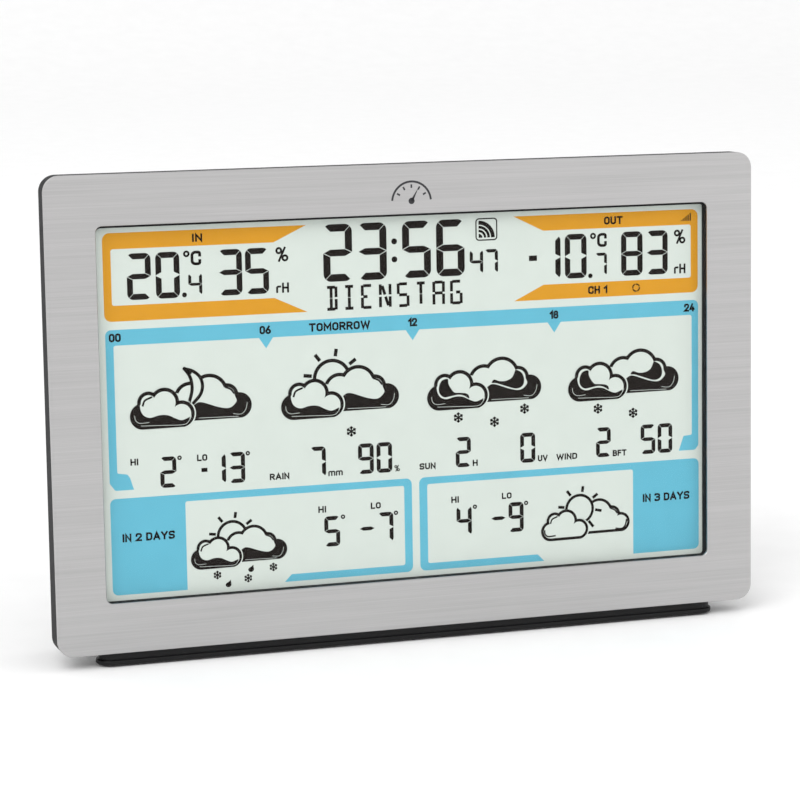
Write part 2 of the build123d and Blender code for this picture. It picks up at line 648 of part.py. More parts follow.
def snooze_bar():
    """The wide bar on top that lights the display and quiets the alarm."""
    half = SNOOZE_WIDTH / 2
    bar = block(-half, half, SNOOZE_Y[0], SNOOZE_Y[1], SHELL_TOP - 4.2, SHELL_TOP + SNOOZE_PROUD)
    bar = fillet(bar.edges().group_by(Axis.Z)[-1], 0.8)
    flange = block(-half - 1.4, half + 1.4, SNOOZE_Y[0] - 0.8, SNOOZE_Y[1] + 1.2,
                   SHELL_TOP - SHELL_WALL - PLAY - 1.5, SHELL_TOP - SHELL_WALL - PLAY)
    y = sum(SNOOZE_Y) / 2 - 3.5
    feet = [Pos(side * SNOOZE_SWITCH_X, y, 134.6) * Box(3, 3, 1.5) for side in (-1, 1)]
    return joined([bar, flange] + feet)


def slide_knob():
    """The knob of the slide switch, with a plate that covers the slot from inside."""
    knob = slab(oblong(SLIDER_X, BUTTON_Z, 5, 4), 26.0, SHELL_BACK + BUTTON_PROUD)
    cover = slab(Pos(SLIDER_X, BUTTON_Z) * Rectangle(15, 8), 25.2, REAR_INSIDE - PLAY)
    stem = slab(Pos(SLIDER_X, BUTTON_Z) * Rectangle(2, 2), BOARD_BACK + 8.3, 25.2)
    ridge = slab(Pos(SLIDER_X, BUTTON_Z) * Rectangle(0.6, 3), SHELL_BACK + BUTTON_PROUD - 0.3,
                 SHELL_BACK + BUTTON_PROUD + 1)
    return knob + cover + stem - ridge


def save_controls():
    """Write every piece that a finger moves on the back and top."""
    for name, x in zip(BUTTON_NAMES, BUTTON_X):
        save(f"button_{name}", stand_up(button(x)))
    save("snooze_bar", stand_up(snooze_bar()))
    save("slide_knob", stand_up(slide_knob()))


# ---- batteries ----
def cell_z(index):
    """Height of one cell's axis."""
    return (BAY_BOTTOM + BAY_TOP) / 2 + (index - 1) * CELL_PITCH


def cell_direction(index):
    """Cells lie alternately left and right."""
    return 1 if index % 2 else -1


def along_x(centre_x, z, radius, length):
    """A round bar along x in the battery bay."""
    return Pos(centre_x, CELL_Y, z) * Rot(0, 90, 0) * Cylinder(radius, length)


NUB_LENGTH = 1.0
CONTACT_THICK = 0.4


def cell_ends(index):
    """x of the flat end and of the nub's tip of one cell."""
    direction = cell_direction(index)
    wall = BAY_RIGHT if direction > 0 else BAY_LEFT
    nub_tip = wall - direction * CONTACT_THICK
    flat = nub_tip - direction * (NUB_LENGTH + CELL_LENGTH)
    return flat, nub_tip


def battery_cell(index):
    """A round cell with a contact nub at one end."""
    direction = cell_direction(index)
    flat, nub_tip = cell_ends(index)
    body = along_x(flat + direction * CELL_LENGTH / 2, cell_z(index), CELL_RADIUS, CELL_LENGTH)
    body = fillet(body.edges(), 0.5)
    nub = along_x(nub_tip - direction * NUB_LENGTH / 2, cell_z(index), 2.7, NUB_LENGTH)
    return body + nub


def contact_plate(index, at_nub):
    """A spring steel plate on the bay's end wall behind one end of a cell."""
    direction = cell_direction(index) * (1 if at_nub else -1)
    wall = BAY_RIGHT if direction > 0 else BAY_LEFT
    centre = Pos(wall - direction * CONTACT_THICK / 2, CELL_Y, cell_z(index))
    return centre * Box(CONTACT_THICK, 11, 11)


def contact_spring(index):
    """The coil spring that presses on a cell's flat end."""
    direction = cell_direction(index)
    flat, _ = cell_ends(index)
    wall = BAY_LEFT if direction > 0 else BAY_RIGHT
    seat = wall + direction * CONTACT_THICK
    height = abs(flat - seat) - 0.6
    coil = Helix(pitch=height / 4, height=height, radius=3.6)
    start = Plane(origin=coil @ 0, z_dir=coil % 0)
    wire = sweep(start * Circle(0.3), path=coil, is_frenet=True)
    turn = 90 if direction > 0 else -90
    return Pos(seat + direction * 0.3, CELL_Y, cell_z(index)) * Rot(0, turn, 0) * wire


def battery_door():
    """The sliding cover, flush with the back, with side tongues and a finger ridge."""
    outer = block(BAY_LEFT + DOOR_GAP, BAY_RIGHT - DOOR_GAP, 27.8, SHELL_BACK, SHELL_BOTTOM, DOOR_TOP)
    tongue = block(BAY_LEFT - DOOR_TONGUE, BAY_RIGHT + DOOR_TONGUE, 26.8, 27.8, SHELL_BOTTOM, DOOR_TOP)
    middle = (BAY_LEFT + BAY_RIGHT) / 2
    ridges = [slab(oblong(middle, 16 + step * 2.2, 22, 1.0), SHELL_BACK - 0.5, SHELL_BACK + 1)
              for step in range(4)]
    return cut(outer + tongue, ridges)


def save_batteries():
    """Write the cells, their contacts and leads, and the door."""
    cells = range(3)
    save("battery_cells", [stand_up(battery_cell(index)) for index in cells])
    plates = [stand_up(contact_plate(index, at_nub)) for index in cells for at_nub in (True, False)]
    save("battery_plates", plates)
    save("battery_springs", [stand_up(contact_spring(index)) for index in cells])
    wall_top = BAY_TOP + 1.5
    leads = [leaded_wire([(x, 18, wall_top), (x, 18, 68), (x, BOARD_BACK, 68)], 0.7, 3.0)
             for x in (-56, -52)]
    save("battery_leads", [stand_up(lead) for lead in leads])
    save("battery_door", stand_up(battery_door()))


# ---- build ----
def save_case():
    """Write the fascia, bezel, pane, shell and the screws that hold them."""
    save("fascia_plate", stand_up(fascia_plate()))
    save("front_bezel", stand_up(front_bezel()))
    save("display_window", stand_up(display_window()))
    save("display_gasket", stand_up(display_gasket()))
    save("rear_shell", stand_up(rear_shell()))
    shell_screws = [screw(side * SCREW_X, z, HEAD_SEAT, 2.4, 1.8, 1.2, BEZEL_FRONT + 0.8)
                    for side in (-1, 1) for z in SHELL_SCREW_Z]
    save("shell_screws", [stand_up(each) for each in shell_screws])
    holder_screws = [screw(side * SCREW_X, z, HOLDER_BACK, 2.2, 1.4, 1.0, BEZEL_FRONT + 0.8)
                     for side in (-1, 1) for z in HOLDER_SCREW_Z]
    save("holder_screws", [stand_up(each) for each in holder_screws])


os.makedirs("parts", exist_ok=True)
save_case()
save_display()
save_electronics()
save_leg()
save_foot()
save_controls()
save_batteries()
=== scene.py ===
import json
import math

import bmesh
import bpy
from mathutils import Matrix, Vector


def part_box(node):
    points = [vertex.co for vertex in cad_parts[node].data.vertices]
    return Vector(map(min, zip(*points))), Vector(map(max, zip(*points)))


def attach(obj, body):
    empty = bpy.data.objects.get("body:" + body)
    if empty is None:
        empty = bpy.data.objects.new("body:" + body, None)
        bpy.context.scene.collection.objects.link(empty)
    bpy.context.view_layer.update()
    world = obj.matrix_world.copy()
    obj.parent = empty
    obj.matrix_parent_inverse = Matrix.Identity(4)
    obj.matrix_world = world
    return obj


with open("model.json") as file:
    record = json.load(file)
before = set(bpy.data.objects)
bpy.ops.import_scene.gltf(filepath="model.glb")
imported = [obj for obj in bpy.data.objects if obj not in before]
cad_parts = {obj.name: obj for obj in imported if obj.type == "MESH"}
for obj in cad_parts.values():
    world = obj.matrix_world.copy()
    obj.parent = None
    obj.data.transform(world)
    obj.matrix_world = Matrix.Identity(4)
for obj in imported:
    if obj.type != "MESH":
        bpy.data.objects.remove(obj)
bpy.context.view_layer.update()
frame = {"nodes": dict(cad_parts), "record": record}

# Lengths on the face are millimetres across (x) and up (v) from the middle of the fascia's
# bottom front edge. Depth runs back from the fascia's front.
MM = 0.001
FASCIA_THICK = 1.0
DISPLAY_DEPTH = 4.2
LAYER_STEP = 0.018
LAYER_THICK = 0.01
PRINT_SHIFT = (0.08, -0.14)
BACK_DEPTH = 29.0


# ---- the face's own frame ----
def face_frame():
    """The matrix from face coordinates (metres) to the row's frame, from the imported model."""
    mounts = {mount["name"]: mount for mount in frame["record"]["mounts"]}
    axis = mounts["wall_hole_left"]["axis"]
    lean = math.atan2(-axis[2], axis[1])
    low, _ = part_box("fascia_plate")
    bottom = low.z + FASCIA_THICK * MM * math.sin(lean)
    return Matrix.Translation((0, low.y, bottom)) @ Matrix.Rotation(-lean, 4, "X"), lean


FACE, LEAN = face_frame()


def on_face(x, v, depth):
    """A point of the face, given in millimetres, in the row's frame."""
    return FACE @ Vector((x * MM, depth * MM, v * MM))


# ---- flat outlines ----
def arc(centre, radius, start, end, steps=16):
    """Points along a circle from one angle to another, in degrees."""
    points = []
    for i in range(steps + 1):
        angle = math.radians(start + (end - start) * i / steps)
        points.append((centre[0] + radius * math.cos(angle), centre[1] + radius * math.sin(angle)))
    return points


def rounded(points, radii, closed=True, steps=6):
    """A polygon or path with its corners rounded. radii is one number or one for each point."""
    count = len(points)
    if not isinstance(radii, (list, tuple)):
        radii = [radii] * count
    result = []
    for i, point in enumerate(points):
        if radii[i] <= 0 or (not closed and i in (0, count - 1)):
            result.append(point)
            continue
        here = Vector(point)
        before = Vector(points[i - 1]) - here
        after = Vector(points[(i + 1) % count]) - here
        turn = before.angle(after)
        reach = min(radii[i] / math.tan(turn / 2), before.length * 0.499, after.length * 0.499)
        start = here + before.normalized() * reach
        end = here + after.normalized() * reach
        centre_way = (before.normalized() + after.normalized()).normalized()
        centre = here + centre_way * (reach / math.cos(turn / 2))
        first = start - centre
        swing = first.angle_signed(end - centre)
        for step in range(steps + 1):
            spoke = first.copy()
            spoke.rotate(Matrix.Rotation(-swing * step / steps, 2))
            result.append(tuple(centre + spoke))
    return result


def smooth(points, closed=False, steps=6):
    """A Catmull-Rom curve through given points."""
    count = len(points)
    spans = count if closed else count - 1
    result = []
    for i in range(spans):
        p1, p2 = Vector(points[i]), Vector(points[(i + 1) % count])
        p0 = Vector(points[i - 1]) if closed or i > 0 else p1
        p3 = Vector(points[(i + 2) % count]) if closed or i + 2 < count else p2
        for step in range(steps):
            t = step / steps
            point = 0.5 * (2 * p1 + (p2 - p0) * t + (2 * p0 - 5 * p1 + 4 * p2 - p3) * t ** 2
                           + (3 * p1 - p0 - 3 * p2 + p3) * t ** 3)
            result.append(tuple(point))
    if not closed:
        result.append(tuple(points[-1]))
    return result


def rectangle(x0, x1, v0, v1):
    """The four corners of a rectangle."""
    return [(x0, v0), (x1, v0), (x1, v1), (x0, v1)]


def moved(points, x=0.0, v=0.0, size=1.0):
    """Points scaled about their origin and then shifted."""
    return [(x + px * size, v + pv * size) for px, pv in points]


# A shape is a list of faces, and a face is a list of points.
def ribbon(path, width, closed=False, square=True):
    """A line of constant width along a path, as a strip of four-sided faces."""
    points = [Vector(point) for point in path]
    count = len(points)
    if square and not closed:
        points[0] = points[0] + (points[0] - points[1]).normalized() * width / 2
        points[-1] = points[-1] + (points[-1] - points[-2]).normalized() * width / 2
    pairs = []
    for i, point in enumerate(points):
        back = point - points[i - 1] if closed or i > 0 else points[1] - point
        ahead = points[(i + 1) % count] - point if closed or i < count - 1 else back
        along = (back.normalized() + ahead.normalized()).normalized()
        across = Vector((-along.y, along.x))
        square_on = Vector((-ahead.normalized().y, ahead.normalized().x))
        reach = width / 2 / max(across.dot(square_on), 0.4)
        pairs.append((point + across * reach, point - across * reach))
    faces = []
    for i in range(count if closed else count - 1):
        left, right = pairs[i], pairs[(i + 1) % count]
        faces.append([tuple(left[0]), tuple(left[1]), tuple(right[1]), tuple(right[0])])
    return faces


def disc(x, v, radius, steps=28):
    """A filled circle."""
    return [arc((x, v), radius, 0, 360 - 360 / steps, steps - 1)]


def ring(x, v, radius, width, steps=28):
    """A circle drawn as a line."""
    return ribbon(arc((x, v), radius, 0, 360 - 360 / steps, steps - 1), width, closed=True)


# ---- solid pieces from flat shapes ----
def flat_piece(name, faces, depth, thick, material, body="housing"):
    """Extrude faces drawn on the face plane into a thin closed piece that rides on a body."""
    mesh = bpy.data.meshes.new(name)
    shape = bmesh.new()
    for face in faces:
        corners = [shape.verts.new(on_face(x, v, depth)) for x, v in face]
        shape.faces.new(corners)
    bmesh.ops.remove_doubles(shape, verts=shape.verts, dist=1e-7)
    grown = bmesh.ops.extrude_face_region(shape, geom=shape.faces[:])
    fronts = [item for item in grown["geom"] if isinstance(item, bmesh.types.BMVert)]
    forward = FACE.to_3x3() @ Vector((0, -thick * MM, 0))
    bmesh.ops.translate(shape, verts=fronts, vec=forward)
    bmesh.ops.recalc_face_normals(shape, faces=shape.faces[:])
    shape.to_mesh(mesh)
    shape.free()
    mesh.materials.append(material)
    piece = bpy.data.objects.new(name, mesh)
    bpy.context.scene.collection.objects.link(piece)
    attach(piece, body)
    return piece


def print_layer(name, faces, layer, material):
    """A layer of the display's print. Higher layers lie nearer the viewer."""
    depth = DISPLAY_DEPTH - 0.012 - layer * LAYER_STEP
    placed = [moved(face, *PRINT_SHIFT) for face in faces]
    return flat_piece(name, placed, depth, LAYER_THICK, material)


# ---- segment digits ----
DIGIT_SEGMENTS = {
    "0": "abcdef", "1": "bc", "2": "abged", "3": "abgcd", "4": "fgbc",
    "5": "afgcd", "6": "afgedc", "7": "abc", "8": "abcdefg", "9": "abcdfg", "-": "g",
}


def segment_shapes(width, height, stroke):
    """The seven bars of a digit in a box of the given size, with fine gaps between them."""
    gap = stroke * 0.05
    middle = height / 2
    inner = width - stroke
    upper_bend = arc((stroke, height - stroke), stroke, 135, 90, 4)
    upper_side = arc((stroke, height - stroke), stroke, 135, 180, 4)

    def mirrored(points, flip_x=False, flip_v=False):
        return [(width - x if flip_x else x, height - v if flip_v else v) for x, v in points]

    top = [(x + gap, v) for x, v in upper_bend]
    top += [(x - gap, v) for x, v in reversed(mirrored(upper_bend, flip_x=True))]
    top += [(inner - gap, height - stroke), (stroke + gap, height - stroke)]
    side = [(x, v - gap) for x, v in upper_side]
    side += [(0, middle + gap), (stroke, middle + stroke / 2 + gap), (stroke, height - stroke - gap)]
    bar = [(gap * 2, middle), (stroke, middle + stroke / 2 - gap), (inner, middle + stroke / 2 - gap),
           (width - gap * 2, middle), (inner, middle - stroke / 2 + gap),
           (stroke, middle - stroke / 2 + gap)]
    return {
        "a": top, "d": mirrored(top, flip_v=True), "g": bar,
        "f": side, "b": mirrored(side, flip_x=True),
        "e": mirrored(side, flip_v=True), "c": mirrored(side, flip_x=True, flip_v=True),
    }


def digits(text, left, bottom, width, height, stroke, pitch):
    """A row of segment digits. A space leaves a cell empty."""
    shapes = segment_shapes(width, height, stroke)
    faces = []
    for i, sign in enumerate(text):
        for name in DIGIT_SEGMENTS.get(sign, ""):
            faces.append(moved(shapes[name], left + i * pitch, bottom))
    return faces


LETTER_BARS = {
    "D": "top low ru rl mu ml", "I": "top low mu ml", "E": "top low lu ll g1",
    "N": "lu ll ru rl du dl", "S": "top low lu rl g1 g2", "T": "top mu ml",
    "A": "top lu ll ru rl g1 g2", "G": "top low lu ll rl g2",
}


def letter_bars(width, height, stroke):
    """The centre lines of the bars of a starburst letter."""
    half, middle, end = stroke / 2, height / 2, stroke * 0.75
    left, right, centre = half, width - half, width / 2
    low, high = half, height - half
    return {
        "top": [(left + end, high), (right - end, high)],
        "low": [(left + end, low), (right - end, low)],
        "lu": [(left, high - end * 0.4), (left, middle + end)],
        "ll": [(left, middle - end), (left, low + end * 0.4)],
        "ru": [(right, high - end * 0.4), (right, middle + end)],
        "rl": [(right, middle - end), (right, low + end * 0.4)],
        "mu": [(centre, high - end), (centre, middle + end * 0.7)],
        "ml": [(centre, middle - end * 0.7), (centre, low + end)],
        "g1": [(left + end, middle), (centre - end * 0.5, middle)],
        "g2": [(centre + end * 0.5, middle), (right - end, middle)],
        "du": [(left + end, high - end), (centre - end * 0.3, middle + end)],
        "dl": [(centre + end * 0.3, middle - end), (right - end, low + end)],
    }


def starburst(text, left, bottom, width, height, stroke, pitch):
    """A word in starburst letters."""
    bars = letter_bars(width, height, stroke)
    faces = []
    for i, letter in enumerate(text):
        for name in LETTER_BARS[letter].split():
            line = ribbon(bars[name], stroke * 0.92, square=True)
            faces += [moved(face, left + i * pitch, bottom) for face in line]
    return faces


# ---- printed labels ----
# Each glyph is its width and its strokes on a line grid one unit high. A stroke is its points,
# the radius of its bends and whether it is closed.
ROUND = 0.26


def glyph_strokes():
    """The strokes of every letter and figure in the labels."""
    w = 0.5
    box = [(0, 0), (0, 1), (w, 1), (w, 0)]
    upper = [(0.03, 0.53), (0.03, 1), (w - 0.03, 1), (w - 0.03, 0.53)]
    lower = [(0, 0), (0, 0.53), (w, 0.53), (w, 0)]
    return {
        "A": (0.6, [([(0, 0), (0.3, 1), (0.6, 0)], 0, False), ([(0.12, 0.28), (0.48, 0.28)], 0, False)]),
        "B": (w, [([(0, 0), (0, 1), (0.46, 1), (0.46, 0.53), (0, 0.53)], [0, 0, 0.2, 0.2, 0], False),
                  ([(0, 0.53), (w, 0.53), (w, 0), (0, 0)], [0, 0.22, 0.22, 0], False)]),
        "C": (w, [([(w, 0.74), (w, 1), (0, 1), (0, 0), (w, 0), (w, 0.26)], ROUND, False)]),
        "D": (w, [(box, [0, 0, ROUND, ROUND], True)]),
        "F": (0.42, [([(0, 0), (0, 1), (0.42, 1)], 0, False), ([(0, 0.52), (0.36, 0.52)], 0, False)]),
        "H": (w, [([(0, 0), (0, 1)], 0, False), ([(w, 0), (w, 1)], 0, False),
                  ([(0, 0.5), (w, 0.5)], 0, False)]),
        "I": (0.0, [([(0, 0), (0, 1)], 0, False)]),
        "L": (0.42, [([(0, 1), (0, 0), (0.42, 0)], 0, False)]),
        "M": (0.66, [([(0, 0), (0, 1), (0.33, 0.3), (0.66, 1), (0.66, 0)], 0, False)]),
        "N": (w, [([(0, 0), (0, 1), (w, 0), (w, 1)], 0, False)]),
        "O": (w, [(box, ROUND, True)]),
        "R": (w, [([(0, 0), (0, 1), (w, 1), (w, 0.47), (0, 0.47)], [0, 0, 0.24, 0.24, 0], False),
                  ([(0.25, 0.47), (w, 0)], 0, False)]),
        "S": (w, [([(w, 0.86), (w, 1), (0, 1), (0, 0.52), (w, 0.48), (w, 0), (0, 0), (0, 0.14)],
                   0.2, False)]),
        "T": (0.54, [([(0, 1), (0.54, 1)], 0, False), ([(0.27, 0), (0.27, 1)], 0, False)]),
        "U": (w, [([(0, 1), (0, 0), (w, 0), (w, 1)], ROUND, False)]),
        "V": (0.56, [([(0, 1), (0.28, 0), (0.56, 1)], 0, False)]),
        "W": (0.86, [([(0, 1), (0.2, 0), (0.43, 0.9), (0.66, 0), (0.86, 1)], 0, False)]),
        "Y": (0.56, [([(0, 1), (0.28, 0.45), (0.56, 1)], 0, False),
                     ([(0.28, 0.45), (0.28, 0)], 0, False)]),
        "r": (0.3, [([(0, 0), (0, 0.66), (0.3, 0.66)], [0, 0.15, 0], False)]),
        "m": (0.84, [([(0, 0), (0, 0.8), (0.42, 0.8), (0.42, 0)], [0, 0.2, 0.2, 0], False),
                     ([(0.42, 0), (0.42, 0.8), (0.84, 0.8), (0.84, 0)], [0, 0.2, 0.2, 0], False)]),
        "0": (w, [(box, ROUND, True)]),
        "1": (0.26, [([(0, 0.72), (0.26, 1), (0.26, 0)], 0, False)]),
        "2": (w, [([(0, 0.72), (0, 1), (w, 1), (w, 0.6), (0, 0), (w, 0)],
                   [0, ROUND, ROUND, 0.2, 0, 0], False)]),
        "3": (w, [([(0, 0.9), (0, 1), (w, 1), (w, 0.53), (0.22, 0.53)], 0.2, False),
                  ([(0.22, 0.53), (w, 0.53), (w, 0), (0, 0), (0, 0.1)], 0.2, False)]),
        "4": (0.54, [([(0.3, 1), (0, 0.24), (0.54, 0.24)], 0, False),
                     ([(0.4, 0.5), (0.4, 0)], 0, False)]),
        "6": (w, [(lower, 0.24, True), ([(0.36, 1), (0.02, 0.42)], 0, False)]),
        "8": (w, [(lower, 0.22, True), (upper, 0.2, True)]),
    }


GLYPHS = glyph_strokes()
GLYPH_SPACE = 0.29
WORD_SPACE = 0.38


def label(text, left, right, bottom, top, weight=0.23):
    """A word fitted between two x values and standing between two heights."""
    stroke = (top - bottom) * weight
    rise = top - bottom - stroke
    natural = 0.0
    places = []
    for sign in text:
        if sign == " ":
            natural += WORD_SPACE
            continue
        places.append((sign, natural))
        natural += GLYPHS[sign][0] + GLYPH_SPACE
    natural -= GLYPH_SPACE
    across = (right - left - stroke) / natural if natural > 0 else 1.0
    faces = []
    for sign, start in places:
        for points, bend, closed in GLYPHS[sign][1]:
            path = rounded(points, bend, closed, steps=5)
            path = [(left + stroke / 2 + (start + x) * across, bottom + stroke / 2 + v * rise)
                    for x, v in path]
            faces += ribbon(path, stroke, closed)
    return faces


def percent(left, right, bottom, top, weight=0.155):
    """A per cent sign."""
    height = top - bottom
    stroke = height * weight
    radius = height * 0.17
    faces = ring(left + radius + stroke / 2, top - radius - stroke / 2, radius, stroke, 20)
    faces += ring(right - radius - stroke / 2, bottom + radius + stroke / 2, radius, stroke, 20)
    slant = [(left + height * 0.22, bottom), (right - height * 0.22, top)]
    return faces + ribbon(slant, stroke, square=False)


# ---- printed colour fields ----
def reading_frame(side):
    """The orange bracket round the readings of the left (-1) or right (1) third."""
    outer, inner, shoulder, tip = (-96.8, -94.3, -43.5, -33.0) if side < 0 else (98.0, 95.55, 44.9, 34.9)
    points = [(tip, 128.2), (outer, 128.2), (outer, 101.4), (tip, 101.4), (shoulder, 106.2),
              (inner, 106.2), (inner, 123.3), (shoulder, 123.3)]
    return [rounded(points, [0, 2.2, 2.2, 0, 0, 0.7, 0.7, 0])]


def tomorrow_frame():
    """The blue bracket over the row of hourly icons, with its four hour marks."""
    points = [(-95.0, 49.7), (-96.7, 52.0), (-96.7, 98.9), (98.1, 98.9), (98.1, 51.5), (96.9, 50.0),
              (91.2, 50.0), (92.9, 54.8), (95.8, 55.0), (95.8, 94.1), (-94.25, 94.1), (-94.25, 55.0),
              (-91.1, 54.5), (-90.3, 53.3), (-89.2, 49.7)]
    radii = [0.8, 1.0, 1.8, 1.8, 1.0, 0.8, 0, 0.5, 0.5, 0.7, 0.7, 0.5, 0.6, 0.8, 0]
    faces = [rounded(points, radii)]
    for x in (-46.5, 0.95, 48.35):
        faces.append([(x - 2.3, 94.2), (x + 2.3, 94.2), (x, 90.8)])
    return faces


def day_frame(side):
    """The blue block and bracket of the second (-1) or third (1) day."""
    if side < 0:
        outer, block, far, far_inner, slant_low, slant_high = -96.75, -73.3, -0.1, -2.65, -42.2, -39.9
    else:
        outer, block, far, far_inner, slant_low, slant_high = 98.2, 75.1, 2.35, 5.0, 44.2, 42.0
    points = [(outer, 17.3), (outer, 47.2), (far, 47.2), (far, 17.3), (slant_low, 17.3),
              (slant_high, 19.6), (far_inner, 19.6), (far_inner, 44.95), (block, 44.95), (block, 17.3)]
    return [rounded(points, [1.8, 1.8, 1.9, 1.9, 0, 0, 0.7, 0.7, 0.7, 0])]


# ---- weather pictures ----
# A picture's origin is the left end of its front cloud, at the height of that cloud's base.
FRONT_LOBES = ((4.05, 4.05, 4.05), (5.85, 8.1, 3.5), (10.8, 7.85, 4.65), (16.1, 4.15, 4.15))
REAR_LOBES = ((18.95, 8.8, 5.1), (24.95, 10.0, 6.0), (30.45, 9.05, 3.7), (34.35, 5.75, 4.0))
REAR_BASE = 1.75
LINE = 1.12


def crossing(first, second, inset):
    """Where two neighbouring lobes meet on the cloud's outside."""
    a, b = Vector(first[:2]), Vector(second[:2])
    ra, rb = first[2] - inset, second[2] - inset
    gap = (b - a).length
    along = (ra ** 2 - rb ** 2 + gap ** 2) / (2 * gap)
    rise = math.sqrt(max(ra ** 2 - along ** 2, 0.0))
    way = (b - a).normalized()
    return a + way * along + Vector((-way.y, way.x)) * rise


def lobe_line(lobes, inset, start, end):
    """A clockwise line over a row of lobes, from an angle on the first to one on the last."""
    points = []
    joints = [crossing(a, b, inset) for a, b in zip(lobes, lobes[1:])]
    for i, (x, v, radius) in enumerate(lobes):
        first, last = start, end
        if i > 0:
            spoke = joints[i - 1] - Vector((x, v))
            first = math.degrees(math.atan2(spoke.y, spoke.x))
        if i < len(lobes) - 1:
            spoke = joints[i] - Vector((x, v))
            last = math.degrees(math.atan2(spoke.y, spoke.x))
        while last > first:
            first += 360
        points += arc((x, v), radius - inset, first, last, 14)[:-1]
    return points


def front_outline(inset=0.0):
    """The whole outline of the front cloud."""
    return lobe_line(FRONT_LOBES, inset, 270, -90)


def rear_outline(inset=0.0):
    """The outline of the rear cloud, closed behind the front one."""
    line = lobe_line(REAR_LOBES, inset, 180, -90)
    return line + [(17.0, REAR_BASE + inset), (15.5, REAR_BASE + 4.0)]


FRONT_BELLY = [(18.7, 3.1), (16.3, 2.2), (14.3, 2.8), (12.3, 3.8), (10.6, 4.15), (8.8, 4.05),
               (6.4, 3.5), (4.5, 4.15), (3.5, 5.6), (3.15, 7.4)]
REAR_BELLY = [(33.6, 7.4), (33.3, 6.6), (32.0, 5.4), (30.4, 5.05), (28.0, 5.5), (25.5, 6.35),
              (23.1, 7.2), (21.4, 7.35), (20.0, 6.5)]
FRONT_SHADE = [(6.9, 9.9), (4.9, 9.4), (3.95, 7.4), (4.15, 5.4), (5.6, 4.15), (7.5, 4.3), (10.3, 4.7),
               (12.2, 4.3), (13.9, 3.3), (13.8, 4.3), (12.8, 5.0), (10.5, 5.3), (9.0, 5.5),
               (7.8, 7.0), (7.1, 8.4)]
REAR_SHADE = [(22.4, 8.8), (24.3, 8.2), (26.4, 8.2), (28.4, 9.1), (29.3, 10.7), (29.8, 11.5),
              (31.6, 10.6), (32.5, 8.7), (32.3, 6.8), (31.1, 5.75), (29.2, 5.6), (25.7, 6.75),
              (23.1, 7.65), (21.6, 7.8)]
FRONT_LIGHT = [(4.1, 7.4), (4.8, 8.9), (6.8, 9.75)]
REAR_LIGHT = [(30.2, 11.5), (31.8, 10.8), (32.7, 9.6)]
FRONT_GLINT = [(1.5, 4.4), (1.7, 3.0), (3.0, 2.0), (5.9, 2.1)]
FRONT_UNDERLINE = [(3.4, 1.15), (10.0, 0.95), (16.6, 0.8), (18.4, 1.9), (19.2, 3.4)]
REAR_GLINT = [(32.4, 3.2), (35.0, 3.0), (36.4, 4.4), (36.9, 6.4)]
REAR_UNDERLINE = [(21.5, 2.5), (28.0, 2.4), (34.0, 2.3)]
HAIRLINE = 0.13
HIGHLIGHT = 0.6
SUN = (16.6, 12.2, 5.65)
SUN_RAYS = [((7.45, 13.6), (10.1, 13.3)), ((11.25, 19.9), (12.8, 17.9)), ((18.15, 21.4), (17.8, 19.1)),
            ((24.4, 17.9), (22.3, 16.4)), ((23.3, 11.5), (26.1, 10.9)), ((20.5, 7.1), (22.5, 4.6))]
MOON_OUTER = [(17.4, 17.9), (19.9, 17.1), (22.1, 15.2), (22.9, 12.5), (22.2, 9.8), (20.0, 7.3)]
MOON_INNER = [(17.4, 17.9), (18.8, 15.9), (19.5, 13.7), (19.55, 11.0), (18.7, 7.8)]


